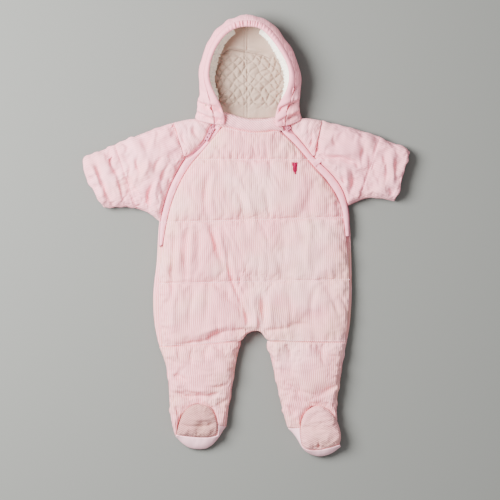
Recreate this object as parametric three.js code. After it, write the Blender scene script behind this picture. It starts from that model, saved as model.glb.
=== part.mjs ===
// A baby's padded corduroy snowsuit with feet, two curved front zips and a hood, laid flat on its
// back. Millimetres, +Z up, +Y toward the hood, +X to the viewer's right, seen from above. Left and
// right are the viewer's. The origin is on the floor at the middle of the suit's outline.
import * as THREE from "three";

// Driving sizes
const SEAM = 0.3; // what each panel stands back from the line it is sewn on
const BACK_TOP = 10; // the back layer fills the space from the floor to here
const BED = BACK_TOP + 0.35; // the front layer lies on it
const FRONT_LOFT = 14.5; // padding and cloth of the front, between its quilting lines
const SLEEVE_LOFT = 14;
const YOKE_LOFT = 12.5;
const COLLAR_LOFT = 15.5;
const LEG_LOFT = 15;
const FOOT_LOFT = 21;
const THINNEST = 2.2; // cloth with no padding left in it
const STITCH_REACH = 8; // how far from a quilting line the padding is back to 1 - 1/e of its height
const FREE_EDGE = { round: 9, lift: 5 }; // how a back panel's free edge curves up from the floor
const SEWN_EDGE = { round: 3.5, drop: 2.6 }; // and how it dips where the front is sewn to it
const CENTRE = 1; // the hood's middle seam lies at this X
const HOOD_WALL = 6; // the padded shell of the hood
const LINING_WALL = 3.2;
const FLEECE_WALL = 3.5;
const CLOTH_GAP = 0.4;

// Colours
const CORDUROY = { color: 0xf0d3d8, roughness: 0.95 };
const WELT = { color: 0xf2c4cc, roughness: 0.7 };
const LINING = { color: 0xd4c8bf, roughness: 0.8 };
const FLEECE = { color: 0xebe8da, roughness: 1 };
const TAPE = { color: 0xe3b3bd, roughness: 0.85 };
const HARDWARE = { color: 0xe9bfc8, roughness: 0.45 };

// Edges of the cloth, each a short table of places from the feet toward the hood
const FRONT_EDGE = {
  left: [
    { x: -134, y: -177.6 }, { x: -139, y: -137 }, { x: -142, y: -95 }, { x: -139, y: -54 },
    { x: -134, y: -14 }, { x: -128, y: 23 }, { x: -117, y: 63 }, { x: -96, y: 106 },
    { x: -68, y: 140 }, { x: -37, y: 177 },
  ],
  right: [
    { x: 157, y: -170 }, { x: 161, y: -137 }, { x: 164, y: -80 }, { x: 161, y: -25 },
    { x: 157, y: 10 }, { x: 154, y: 36 }, { x: 146, y: 62 }, { x: 130, y: 87 },
    { x: 108, y: 111 }, { x: 79, y: 145 }, { x: 51, y: 171 },
  ],
};
const ZIP_INNER = {
  left: [
    { x: -134, y: -14 }, { x: -128, y: 23 }, { x: -117, y: 63 }, { x: -96, y: 106 },
    { x: -68, y: 140 }, { x: -37.5, y: 177 }, { x: -38, y: 185 },
  ],
  right: [
    { x: 158.3, y: 0 }, { x: 154, y: 36 }, { x: 146, y: 62 }, { x: 130, y: 87 },
    { x: 108, y: 111 }, { x: 79, y: 145 }, { x: 57, y: 166 }, { x: 52, y: 171.5 },
    { x: 51, y: 181 },
  ],
};
const ZIP_OUTER = {
  left: [
    { x: -140.5, y: -16 }, { x: -140, y: 7 }, { x: -138, y: 30 }, { x: -126, y: 74 },
    { x: -112, y: 103 }, { x: -99, y: 125 }, { x: -83, y: 137 }, { x: -66, y: 156 },
    { x: -52, y: 186 },
  ],
  right: [
    { x: 165, y: 0 }, { x: 164.5, y: 36 }, { x: 161, y: 55 }, { x: 155, y: 74 },
    { x: 145, y: 90 }, { x: 130, y: 107 }, { x: 109, y: 126 }, { x: 90, y: 150 },
    { x: 69, y: 173 }, { x: 62, y: 183 },
  ],
};
const OUTLINE = {
  left: [
    { x: -139, y: -178 }, { x: -147, y: -145 }, { x: -150, y: -102 }, { x: -148, y: -68 },
    { x: -142, y: -38 }, { x: -142, y: -6 }, { x: -140, y: 25 }, { x: -131, y: 82 },
    { x: -123, y: 138 }, { x: -116, y: 182 },
  ],
  right: [
    { x: 160, y: -170 }, { x: 166, y: -136 }, { x: 168, y: -90 }, { x: 168, y: -50 },
    { x: 166, y: -6 }, { x: 165, y: 23 }, { x: 164, y: 50 }, { x: 147, y: 90 },
    { x: 130, y: 138 }, { x: 120, y: 185 },
  ],
};
const NECK_EDGE = [
  { x: -116, y: 182 }, { x: -81, y: 188.3 }, { x: 1, y: 188.3 }, { x: 86, y: 188.5 },
  { x: 120, y: 185 },
];
const CROTCH = [
  { x: -75, y: -174 }, { x: -24, y: -169.4 }, { x: -9.5, y: -167.4 }, { x: -3, y: -160 },
  { x: 2, y: -153.2 }, { x: 11, y: -150.3 }, { x: 22, y: -151 }, { x: 28, y: -159.5 },
  { x: 33.5, y: -166.8 }, { x: 46, y: -168.2 }, { x: 85, y: -169.5 },
];
const COLLAR_SEAM = [
  { x: -37, y: 177 }, { x: -7, y: 169.5 }, { x: 20, y: 166.5 }, { x: 51, y: 171 },
];
const COLLAR_TOP = [
  { x: -34.5, y: 199 }, { x: -7.5, y: 190 }, { x: 20, y: 186.5 }, { x: 47.5, y: 192 },
];
const SHOULDER_SEAM = {
  left: [{ x: -99, y: 125 }, { x: -108, y: 155 }, { x: -116, y: 182 }],
  right: [{ x: 109, y: 126 }, { x: 114, y: 156 }, { x: 120, y: 185 }],
};
const SHOULDER_TOP = {
  left: [{ x: -116, y: 182 }, { x: -84, y: 188.5 }, { x: -66, y: 186 }, { x: -52, y: 186 }],
  right: [{ x: 120, y: 185 }, { x: 92, y: 189.5 }, { x: 77, y: 186 }, { x: 62, y: 183 }],
};
const SLEEVE = {
  left: {
    under: [
      { x: -139.5, y: 25 }, { x: -160, y: 40.5 }, { x: -187, y: 47.5 }, { x: -209, y: 47.8 },
      { x: -229, y: 47 },
    ],
    over: [
      { x: -116, y: 182 }, { x: -139, y: 175.5 }, { x: -161, y: 166.5 }, { x: -211, y: 147 },
      { x: -220, y: 140 }, { x: -236, y: 135.6 }, { x: -255, y: 130 }, { x: -261.3, y: 123.7 },
    ],
    cuff: [
      { x: -229, y: 47 }, { x: -241, y: 65 }, { x: -251, y: 86.9 }, { x: -258.5, y: 105 },
      { x: -261.3, y: 123.7 },
    ],
  },
  right: {
    under: [
      { x: 164, y: 50 }, { x: 184, y: 59.5 }, { x: 199, y: 63 }, { x: 218, y: 61.3 },
      { x: 236.5, y: 56.6 },
    ],
    over: [
      { x: 120, y: 185 }, { x: 142, y: 179 }, { x: 168, y: 174 }, { x: 184, y: 168 },
      { x: 213, y: 159 }, { x: 223, y: 150.5 }, { x: 243, y: 147 }, { x: 257, y: 142 },
      { x: 261.6, y: 135 },
    ],
    cuff: [
      { x: 236.5, y: 56.6 }, { x: 245, y: 78 }, { x: 252, y: 105 }, { x: 261.6, y: 135 },
    ],
  },
};
const LEG = {
  left: {
    outer: [
      { x: -113.5, y: -319 }, { x: -121, y: -291 }, { x: -124, y: -244 }, { x: -126, y: -217 },
      { x: -131, y: -198 }, { x: -139, y: -178 },
    ],
    inner: [
      { x: -33, y: -303 }, { x: -28, y: -262 }, { x: -22, y: -231 }, { x: -17, y: -198 },
      { x: -9.5, y: -168.6 },
    ],
    top: [{ x: -139, y: -178 }, { x: -75, y: -174.5 }, { x: -24, y: -170 }, { x: -9.5, y: -168.6 }],
  },
  right: {
    outer: [
      { x: 144, y: -296 }, { x: 144.5, y: -261 }, { x: 150, y: -230 }, { x: 155, y: -192 },
      { x: 160, y: -170.6 },
    ],
    inner: [
      { x: 66, y: -306 }, { x: 57, y: -273 }, { x: 48, y: -231 }, { x: 33.5, y: -168.2 },
    ],
    top: [{ x: 33.5, y: -168.2 }, { x: 46, y: -169 }, { x: 88, y: -170 }, { x: 160, y: -170.6 }],
  },
};
const FOOT = {
  left: {
    dome: [
      { x: -112, y: -318 }, { x: -108, y: -299 }, { x: -100, y: -281 }, { x: -87, y: -270 },
      { x: -74, y: -268 }, { x: -62, y: -271 }, { x: -53, y: -279 }, { x: -48, y: -291 },
      { x: -46, y: -304 }, { x: -46, y: -318 },
    ],
    seam: [{ x: -112, y: -318 }, { x: -83, y: -321 }, { x: -60, y: -321.5 }, { x: -46, y: -318 }],
    toe: [
      { x: -113, y: -321 }, { x: -104, y: -332 }, { x: -88, y: -339.7 }, { x: -65, y: -340 },
      { x: -53, y: -333 }, { x: -42, y: -318 }, { x: -33.3, y: -304.6 },
    ],
    backSeam: { outerY: -314, innerY: -299.5 },
    heel: { x: -46.2, y: -302.5 },
    ankle: { x: -112, y: -318 },
    instep: { from: 0.3, to: 0.66 },
  },
  right: {
    dome: [
      { x: 88, y: -332 }, { x: 86, y: -313 }, { x: 87.5, y: -297 }, { x: 93, y: -283 },
      { x: 105, y: -273 }, { x: 117, y: -270 }, { x: 128, y: -275 }, { x: 138, y: -284 },
      { x: 146.5, y: -301 }, { x: 151, y: -320 }, { x: 148.5, y: -333.5 },
    ],
    seam: [{ x: 88, y: -332 }, { x: 95, y: -341 }, { x: 118, y: -341.5 }, { x: 148.5, y: -333.5 }],
    toe: [
      { x: 67, y: -308 }, { x: 77, y: -319 }, { x: 85.5, y: -332 }, { x: 95, y: -345.5 },
      { x: 116, y: -353.4 }, { x: 137, y: -348 }, { x: 150, y: -337.5 },
    ],
    backSeam: { outerY: -292, innerY: -302.5 },
    heel: { x: 86.2, y: -307 },
    ankle: { x: 144, y: -295.5 },
    instep: { from: 0.34, to: 0.62 },
  },
};

// How far past the corner of zip and shoulder seam the yoke starts, as shares of the two
const YOKE_START = { zip: 0.02, shoulder: 0.07 };
const ARMHOLE_CORNER = 0.63; // share of a front armhole below the yoke
const ANKLE_CORNER = 0.86; // share of a front leg's lower edge that runs round the foot
const SOLE_CORNER = { left: 0.8, right: 0.28 }; // share of a sole's inner edge before its corner

// Stitched lines across the suit that pull the padding down: where each meets the two edges
const QUILTING = [
  { leftX: -150, leftY: 123.3, rightX: 170, rightY: 122.5, pull: 0.28 },
  { leftX: -150, leftY: 22, rightX: 170, rightY: 31, pull: 0.28 },
  { leftX: -150, leftY: -76, rightX: 170, rightY: -69, pull: 0.28 },
];
const SLEEVE_STITCHING = {
  left: [{ leftX: -212, leftY: 147, rightX: -177, rightY: 46, pull: 0.35 }],
  right: [{ leftX: 182, leftY: 60, rightX: 213, rightY: 159, pull: 0.35 }],
};

// Folds of the cloth: a soft ridge, or a trough where rise is negative
const BODY_FOLDS = [
  { fromX: -34, fromY: -15, toX: 4, toY: -128, rise: -3, width: 7 },
  { fromX: -20, fromY: -22, toX: 14, toY: -120, rise: 2, width: 7 },
  { fromX: 26, fromY: -92, toX: 27, toY: -146, rise: -2.5, width: 6 },
  { fromX: -93, fromY: 10, toX: -97, toY: -62, rise: -2, width: 5 },
  { fromX: -77, fromY: 14, toX: -80, toY: -100, rise: 1.5, width: 6 },
  { fromX: -114, fromY: 0, toX: -118, toY: -100, rise: -1.6, width: 6 },
  { fromX: -62, fromY: 95, toX: -66, toY: 40, rise: -1.6, width: 7 },
  { fromX: -8, fromY: -150, toX: -100, toY: -172, rise: -3.2, width: 6 },
  { fromX: -6, fromY: -140, toX: -84, toY: -157, rise: 1.6, width: 7 },
  { fromX: 32, fromY: -151, toX: 95, toY: -142, rise: -2.8, width: 6 },
  { fromX: 120, fromY: -80, toX: 150, toY: -60, rise: -1.4, width: 6 },
];
const SLEEVE_FOLDS = {
  left: [
    { fromX: -243, fromY: 122, toX: -215, toY: 52, rise: -3, width: 5 },
    { fromX: -220, fromY: 138, toX: -207, toY: 100, rise: -3, width: 5 },
    { fromX: -149, fromY: 82, toX: -156, toY: 43, rise: -3, width: 6 },
    { fromX: -170, fromY: 120, toX: -190, toY: 60, rise: -2, width: 6 },
    { fromX: -125, fromY: 150, toX: -160, toY: 100, rise: -1.6, width: 7 },
    { fromX: -228, fromY: 110, toX: -206, toY: 56, rise: 1.6, width: 6 },
  ],
  right: [
    { fromX: 119, fromY: 127, toX: 176, toY: 119, rise: -3.4, width: 6 },
    { fromX: 122, fromY: 136, toX: 170, toY: 131, rise: 1.8, width: 7 },
    { fromX: 168, fromY: 107, toX: 166, toY: 70, rise: -3, width: 6 },
    { fromX: 219, fromY: 131, toX: 222, toY: 84, rise: -2.6, width: 5 },
    { fromX: 238, fromY: 140, toX: 226, toY: 74, rise: -2, width: 5 },
    { fromX: 196, fromY: 148, toX: 186, toY: 100, rise: -1.6, width: 6 },
  ],
};
const YOKE_FOLDS = {
  left: [
    { fromX: -50, fromY: 190, toX: -75, toY: 137, rise: -8, width: 5 },
    { fromX: -84, fromY: 184, toX: -78, toY: 160, rise: -2, width: 5 },
  ],
  right: [
    { fromX: 58, fromY: 184, toX: 80, toY: 160, rise: -8, width: 5 },
    { fromX: 92, fromY: 184, toX: 84, toY: 160, rise: -2, width: 5 },
  ],
};
const LEG_FOLDS = {
  left: [
    { fromX: -112, fromY: -252, toX: -40, toY: -262, rise: -2.6, width: 5 },
    { fromX: -100, fromY: -238, toX: -36, toY: -240, rise: 1.5, width: 6 },
    { fromX: -118, fromY: -214, toX: -70, toY: -222, rise: -1.6, width: 6 },
    { fromX: -36, fromY: -236, toX: -60, toY: -226, rise: -2, width: 5 },
  ],
  right: [
    { fromX: 62, fromY: -232, toX: 112, toY: -246, rise: -2, width: 6 },
    { fromX: 138, fromY: -240, toX: 96, toY: -262, rise: -2.2, width: 5 },
    { fromX: 52, fromY: -200, toX: 100, toY: -212, rise: -1.6, width: 6 },
  ],
};
const VAMP_FOLDS = {
  left: [
    { fromX: -106, fromY: -301, toX: -52, toY: -300, rise: -1.6, width: 4 },
    { fromX: -94, fromY: -284, toX: -60, toY: -286, rise: -1.2, width: 4 },
  ],
  right: [
    { fromX: 94, fromY: -300, toX: 140, toY: -302, rise: -1.2, width: 5 },
    { fromX: 118, fromY: -330, toX: 118, toY: -341, rise: -1.6, width: 4 },
  ],
};

// The hood lies on its back with the face opening up. Each row is a section from the neck to the
// crown: its widest point, how far in the rim's seam and its inner edge lie, how high the rim
// stands, the height of the widest point, how far the front corner reaches down over the zip,
// and where the section's foot lies on the middle seam.
const HOOD = {
  left: [
    { x: -82, y: 191.5, seam: 27, edge: 41, rim: 28.5, wide: 15, dip: 11, foot: 189.2 },
    { x: -79, y: 212, seam: 16, edge: 29, rim: 38, wide: 22, dip: 1, foot: 203 },
    { x: -76.5, y: 231, seam: 9.5, edge: 19.5, rim: 43, wide: 27, dip: 0, foot: 216 },
    { x: -77.5, y: 254, seam: 8.5, edge: 17.5, rim: 45, wide: 29, dip: 0, foot: 231 },
    { x: -73, y: 280, seam: 8, edge: 15.5, rim: 46, wide: 30, dip: 0, foot: 246 },
    { x: -64, y: 307, seam: 8, edge: 16, rim: 47, wide: 31, dip: 0, foot: 259 },
    { x: -48, y: 332, seam: 8.5, edge: 17.5, rim: 48, wide: 32, dip: 0, foot: 270 },
    { x: -29, y: 346.5, seam: 8.5, edge: 18, rim: 49, wide: 33, dip: 0, foot: 278 },
    { x: -13, y: 352, seam: 8.5, edge: 18.3, rim: 50, wide: 34, dip: 0, foot: 283 },
    { x: 1, y: 353.6, seam: 8.6, edge: 18.6, rim: 50, wide: 34, dip: 0, foot: 285 },
  ],
  right: [
    { x: 88, y: 191.5, seam: 24, edge: 38, rim: 28.5, wide: 15, dip: 14, foot: 189.2 },
    { x: 85, y: 212, seam: 14, edge: 28.5, rim: 38, wide: 22, dip: 1, foot: 203 },
    { x: 87, y: 231, seam: 10, edge: 22, rim: 43, wide: 27, dip: 0, foot: 216 },
    { x: 87, y: 254, seam: 9, edge: 18.5, rim: 45, wide: 29, dip: 0, foot: 231 },
    { x: 81, y: 280, seam: 9, edge: 16.5, rim: 46, wide: 30, dip: 0, foot: 246 },
    { x: 68, y: 307, seam: 10, edge: 18, rim: 47, wide: 31, dip: 0, foot: 259 },
    { x: 50, y: 332, seam: 9.5, edge: 19, rim: 48, wide: 32, dip: 0, foot: 270 },
    { x: 31, y: 346.5, seam: 8, edge: 17.5, rim: 49, wide: 33, dip: 0, foot: 278 },
    { x: 15, y: 352, seam: 8.5, edge: 18, rim: 50, wide: 34, dip: 0, foot: 283 },
    { x: 1, y: 353.6, seam: 8.6, edge: 18.6, rim: 50, wide: 34, dip: 0, foot: 285 },
  ],
};

// A section of the hood's shell. Above its widest point a row is a share of the way to the rim's
// seam, below it a distance in from the widest point and a share of that point's height.
const HOOD_UPPER = [
  { inward: 1, up: 1 }, { inward: 0.44, up: 0.7 }, { inward: 0.09, up: 0.36 },
  { inward: 0, up: 0 },
];
const HOOD_LOWER = [
  { inset: 2, height: 0.68 }, { inset: 7, height: 0.38 }, { inset: 15.5, height: 0.13 },
  { inset: 26, height: 0 },
];
const FLOOR_ROWS = 7; // rows of the shell that lie on the floor, up to the middle seam
const HOOD_COLUMNS = 18; // sections of each half between neck and crown
const SMOOTH_CROWN = 291; // the lining isn't quilted beyond this Y
const COLLAR_SHADE = 204; // nor below this Y, behind the collar
const QUILT_RISE = 1.3;

// The elastic casing round the face, as a section: a share of its width, and a height over the
// shell's edge
const RIM_SECTION = [
  { across: 0.06, up: 0.9 }, { across: 0.28, up: 3.4 }, { across: 0.62, up: 4.4 },
  { across: 0.92, up: 3 }, { across: 1, up: -0.5 }, { across: 0.86, up: -3.6 },
  { across: 0.66, up: -3.2 }, { across: 0.5, up: -1.6 },
];
const RIM_STEPS = { plain: 15, gathered: 8, gatherFrom: 0.82 };
const RIM_OFF_SHELL = 0.6;
const RIM_GATHER = 1.3; // depth of the gathers that the elastic makes at the crown
const FLEECE_SPAN = { first: 3, last: 14 }; // the hood's sections that the facing runs past

// Zips
const TAPE_WALL = 1.3;
const TEETH = { height: 4.2 };
const WELT_LIFT = BED + TAPE_WALL + CLOTH_GAP;
const WELT_LOFT = 6.2;
const TEETH_CLEARANCE = 0.9; // between the teeth and the slider that rides over them
const SLIDER = { length: 9, width: 6.4, base: 2.2, ear: 1.3, earHeight: 4.2, slot: 4.6 };
const PULL = {
  length: 20, width: 6, neck: 3.6, neckTo: 4.5, shoulder: 6.5, behind: 1.4, corner: 1.5,
  thickness: 1.6, overBase: 2.2,
};
const SLIDER_BASE = BED + TAPE_WALL + TEETH.height + TEETH_CLEARANCE;
const HINGE_RISE = SLIDER.base + PULL.overBase;
const TEETH_SHARE = 0.86; // how far across its tape the row of teeth lies
const ZIP_STEP = 0.05; // share of a zip over which its direction is taken
// How far up its zip each slider stands. The right one's tab lies away from the teeth, up under
// the hood's corner.
const SLIDER_PLACE = {
  left: { share: 0.925, away: false },
  right: { share: 0.955, away: true },
};

const { lerp, clamp } = THREE.MathUtils;
const last = (list) => list[list.length - 1];

// A smooth path through the rows of a table
const through = (rows) => new THREE.SplineCurve(rows.map(({ x, y }) => new THREE.Vector2(x, y)));

// The share of a path's length at which it reaches a height y, on a path that only rises
function shareAtHeight(path, y) {
  let low = 0;
  let high = 1;
  for (let step = 0; step < 30; step += 1) {
    const middle = (low + high) / 2;
    if (path.getPointAt(middle).y < y) low = middle;
    else high = middle;
  }
  return (low + high) / 2;
}

// The share of a path's length that lies nearest to a place
function shareNear(path, { x, y }) {
  const samples = 400;
  const place = new THREE.Vector2(x, y);
  const distances = Array.from({ length: samples + 1 }, (_, i) =>
    path.getPointAt(i / samples).distanceTo(place));
  return distances.indexOf(Math.min(...distances)) / samples;
}

// A stretch of a path between two shares, which may run backward
const stretch = (path, from, to) => ({ getPointAt: (share) => path.getPointAt(lerp(from, to, share)) });

// Two paths one after the other, which meet at a share where a corner may be
const cornered = (before, after, corner) => ({
  getPointAt: (share) => (share <= corner
    ? before.getPointAt(share / corner)
    : after.getPointAt((share - corner) / (1 - corner))),
});

// Shares crowded at both ends of each of the two paths round a corner
const crowdedRound = (corner, before, after, crowding) => [
  ...crowded(before, crowding).map((share) => share * corner),
  ...crowded(after, crowding).slice(1).map((share) => lerp(corner, 1, share)),
];

// count + 1 shares from 0 to 1, closer together near both ends
const crowded = (count, crowding = 0.7) =>
  Array.from({ length: count + 1 }, (_, i) =>
    lerp(i / count, 0.5 - 0.5 * Math.cos((Math.PI * i) / count), crowding));

// A quarter round: 0 at the edge of a padded piece, 1 from its radius inward
const quarterRound = (distance, radius) => {
  const left = 1 - clamp(distance / radius, 0, 1);
  return Math.sqrt(1 - left * left);
};

// Distance from a place to a segment, and the share along it of the nearest point
function nearSegment(x, y, fromX, fromY, toX, toY) {
  const alongX = toX - fromX;
  const alongY = toY - fromY;
  const squared = alongX * alongX + alongY * alongY;
  const share = ((x - fromX) * alongX + (y - fromY) * alongY) / squared;
  const held = clamp(share, 0, 1);
  return { distance: Math.hypot(x - fromX - held * alongX, y - fromY - held * alongY), share };
}

// How far stitched lines leave the padding up at a place, from 1 - pull on a line to 1
function quilted(lines, x, y) {
  return lines.reduce((height, { leftX, leftY, rightX, rightY, pull }) => {
    const { distance } = nearSegment(x, y, leftX, leftY, rightX, rightY);
    return height * (1 - pull * Math.exp(-distance / STITCH_REACH));
  }, 1);
}

// What the folds add to the height at a place. A fold fades past its two ends.
function folded(folds, x, y) {
  return folds.reduce((height, { fromX, fromY, toX, toY, rise, width }) => {
    const { distance, share } = nearSegment(x, y, fromX, fromY, toX, toY);
    const swell = Math.sin(Math.PI * clamp(lerp(0.12, 0.88, share), 0, 1));
    return height + rise * swell * Math.exp(-((distance / width) ** 2));
  }, 0);
}

// A closed wall between two grids of points with equal rows and columns
function wall(outer, inner) {
  const rows = outer.length;
  const columns = outer[0].length;
  const points = [...outer.flat(), ...inner.flat()];
  const at = (side, row, column) => (side * rows + row) * columns + column;
  const index = [];
  const quad = (a, b, c, d) => index.push(a, b, c, a, c, d);
  for (let row = 0; row < rows - 1; row += 1) {
    for (let column = 0; column < columns - 1; column += 1) {
      quad(at(0, row, column), at(0, row, column + 1),
        at(0, row + 1, column + 1), at(0, row + 1, column));
      quad(at(1, row, column), at(1, row + 1, column),
        at(1, row + 1, column + 1), at(1, row, column + 1));
    }
  }
  const border = [];
  for (let column = 0; column < columns; column += 1) border.push([0, column]);
  for (let row = 1; row < rows; row += 1) border.push([row, columns - 1]);
  for (let column = columns - 2; column >= 0; column -= 1) border.push([rows - 1, column]);
  for (let row = rows - 2; row > 0; row -= 1) border.push([row, 0]);
  border.forEach(([row, column], i) => {
    const [nextRow, nextColumn] = border[(i + 1) % border.length];
    quad(at(0, nextRow, nextColumn), at(0, row, column),
      at(1, row, column), at(1, nextRow, nextColumn));
  });
  return closed(points, index);
}

// A closed ring or rod whose sections are loops of points, capped at its two ends
function rod(sections) {
  const sides = sections[0].length;
  const points = sections.flat();
  const index = [];
  sections.slice(1).forEach((_, section) => {
    for (let side = 0; side < sides; side += 1) {
      const a = section * sides + side;
      const b = section * sides + ((side + 1) % sides);
      index.push(a, b, b + sides, a, b + sides, a + sides);
    }
  });
  const end = (sections.length - 1) * sides;
  for (let side = 1; side < sides - 1; side += 1) {
    index.push(0, side + 1, side, end, end + side, end + side + 1);
  }
  return closed(points, index);
}

// A geometry from points and triangles, turned so that its faces point out
function closed(points, index) {
  const volume = index.reduce((sum, _, i) => {
    if (i % 3) return sum;
    const [a, b, c] = [points[index[i]], points[index[i + 1]], points[index[i + 2]]];
    return sum + a.dot(new THREE.Vector3().crossVectors(b, c));
  }, 0);
  const faces = index.slice();
  if (volume < 0) {
    for (let i = 0; i < faces.length; i += 3) [faces[i + 1], faces[i + 2]] = [faces[i + 2], faces[i + 1]];
  }
  const geometry = new THREE.BufferGeometry().setFromPoints(points);
  geometry.setIndex(faces);
  geometry.computeVertexNormals();
  return geometry;
}

// The plan of a panel between four edges. first and last run from left to right, left and right
// run from first to last.
function plan({ first, last: final, left, right }) {
  const [a, b] = [first.getPointAt(0), first.getPointAt(1)];
  const [c, d] = [final.getPointAt(0), final.getPointAt(1)];
  return (u, v) => {
    const across = first.getPointAt(u).lerp(final.getPointAt(u), v);
    const along = left.getPointAt(v).lerp(right.getPointAt(v), u);
    const corners = a.clone().lerp(b, u).lerp(c.clone().lerp(d, u), v);
    return across.add(along).sub(corners);
  };
}

// Where each row and column of a panel lies in plan, stood back from its seams, with the distance
// to each of its four edges
function cells({ edges, across, rows, gaps = {} }) {
  const place = plan(edges);
  const stations = rows.map((row) => (typeof row === "number" ? { left: row, right: row } : row));
  const grid = stations.map(({ left, right }) =>
    across.map((u) => {
      const v = lerp(left, right, u);
      const at = place(u, v);
      return {
        at,
        distance: {
          left: at.distanceTo(place(0, left)),
          right: at.distanceTo(place(1, right)),
          first: at.distanceTo(place(u, 0)),
          last: at.distanceTo(place(u, 1)),
        },
      };
    }));
  const lines = {
    left: [grid.map((row) => row[0]), grid.map((row) => row[1])],
    right: [grid.map((row) => last(row)), grid.map((row) => row[row.length - 2])],
    first: [grid[0], grid[1]],
    last: [last(grid), grid[grid.length - 2]],
  };
  const moves = Object.entries(lines).flatMap(([edge, [line, neighbours]]) =>
    line.map((cell, i) => {
      const along = line[Math.min(i + 1, line.length - 1)].at.clone().sub(line[Math.max(i - 1, 0)].at);
      const inward = new THREE.Vector2(-along.y, along.x).setLength(gaps[edge] ?? SEAM);
      if (inward.dot(neighbours[i].at.clone().sub(cell.at)) < 0) inward.negate();
      return { cell, inward };
    }));
  moves.forEach(({ cell, inward }) => cell.at.add(inward));
  return grid;
}

// A padded panel that lies on the bed. Each edge has the share of the loft that it keeps and the
// width over which it rounds off.
function paddedPanel({ edges, across, rows, loft, brims, gaps, quilting = [], folds = [] }) {
  const grid = cells({ edges, across, rows, gaps });
  const height = ({ at, distance }) => {
    const share = Object.entries(brims).reduce((kept, [edge, { keep, round }]) =>
      kept * lerp(keep, 1, quarterRound(distance[edge], round)), 1);
    const padding = loft * share * quilted(quilting, at.x, at.y);
    return Math.max(padding + folded(folds, at.x, at.y) * share, THINNEST);
  };
  return wall(
    grid.map((row) => row.map((cell) => new THREE.Vector3(cell.at.x, cell.at.y, BED + height(cell)))),
    grid.map((row) => row.map(({ at }) => new THREE.Vector3(at.x, at.y, BED))));
}

// A panel of the back: flat on the floor and flat on top, its free edges rounded up from the floor
function backPanel({ edges, across, rows, free }) {
  const grid = cells({ edges, across, rows });
  const nearest = ({ distance }) => Math.min(...free.map((edge) => distance[edge]));
  const lift = (cell) => FREE_EDGE.lift * (1 - quarterRound(nearest(cell), FREE_EDGE.round));
  const drop = (cell) => SEWN_EDGE.drop * (1 - quarterRound(nearest(cell), SEWN_EDGE.round));
  return wall(
    grid.map((row) => row.map((cell) =>
      new THREE.Vector3(cell.at.x, cell.at.y, BACK_TOP - drop(cell)))),
    grid.map((row) => row.map((cell) => new THREE.Vector3(cell.at.x, cell.at.y, lift(cell)))));
}

const suit = new THREE.Group();

function add(name, geometry, finish) {
  const mesh = new THREE.Mesh(geometry, new THREE.MeshStandardMaterial(finish));
  mesh.name = name;
  suit.add(mesh);
  return mesh;
}

// Body
// Columns of front and back, closer together at the edges and round the crotch
const FRONT_COLUMNS = [
  0, 0.02, 0.06, 0.12, 0.19, 0.26, 0.32, 0.36, 0.385, 0.41, 0.435, 0.46, 0.49, 0.52, 0.545, 0.57,
  0.595, 0.63, 0.69, 0.77, 0.85, 0.92, 0.97, 1,
];
const BACK_COLUMNS = [
  0, 0.03, 0.1, 0.2, 0.3, 0.36, 0.39, 0.42, 0.46, 0.5, 0.54, 0.575, 0.61, 0.7, 0.8, 0.9, 0.97, 1,
];
const BESIDE_STITCHES = 5; // rows of the front that keep a quilting line narrow
const FRONT_HEIGHTS = [
  -168, -158, -145, -128, -108, -92, -54, -34, -12, 6, 42, 62, 84, 104, 140, 155, 168,
];
const frontEdge = { left: through(FRONT_EDGE.left), right: through(FRONT_EDGE.right) };
const frontRow = (leftY, rightY) => ({
  left: shareAtHeight(frontEdge.left, leftY),
  right: shareAtHeight(frontEdge.right, rightY),
});

function frontBody() {
  const stitched = QUILTING.flatMap(({ leftY, rightY }) =>
    [-BESIDE_STITCHES, 0, BESIDE_STITCHES].map((beside) =>
      ({ left: leftY + beside, right: rightY + beside })));
  const between = FRONT_HEIGHTS.map((y) => ({ left: y, right: y }));
  const heights = [...stitched, ...between].sort((a, b) => a.left - b.left);
  return paddedPanel({
    edges: {
      first: through([FRONT_EDGE.left[0], ...CROTCH, FRONT_EDGE.right[0]]),
      last: through(COLLAR_SEAM),
      left: frontEdge.left,
      right: frontEdge.right,
    },
    across: FRONT_COLUMNS,
    rows: [0, ...heights.map(({ left, right }) => frontRow(left, right)), 1],
    loft: FRONT_LOFT,
    brims: {
      left: { keep: 0.5, round: 16 },
      right: { keep: 0.5, round: 16 },
      first: { keep: 0.76, round: 10 },
      last: { keep: 0.74, round: 8 },
    },
    quilting: QUILTING,
    folds: BODY_FOLDS,
  });
}

function backBody() {
  return backPanel({
    edges: {
      first: through([OUTLINE.left[0], ...CROTCH, OUTLINE.right[0]]),
      last: through(NECK_EDGE),
      left: through(OUTLINE.left),
      right: through(OUTLINE.right),
    },
    across: BACK_COLUMNS,
    rows: crowded(13, 0.3),
    free: ["left", "right"],
  });
}

add("front_body", frontBody(), CORDUROY);
add("back_body", backBody(), CORDUROY);
add("collar", paddedPanel({
  edges: {
    first: through(COLLAR_SEAM),
    last: through(COLLAR_TOP),
    left: through([COLLAR_SEAM[0], COLLAR_TOP[0]]),
    right: through([last(COLLAR_SEAM), last(COLLAR_TOP)]),
  },
  across: crowded(14, 0.2),
  rows: crowded(5, 0.6),
  loft: COLLAR_LOFT,
  brims: {
    left: { keep: 0.8, round: 5 },
    right: { keep: 0.8, round: 5 },
    first: { keep: 0.62, round: 9 },
    last: { keep: 0.72, round: 6 },
  },
}), CORDUROY);

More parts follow.
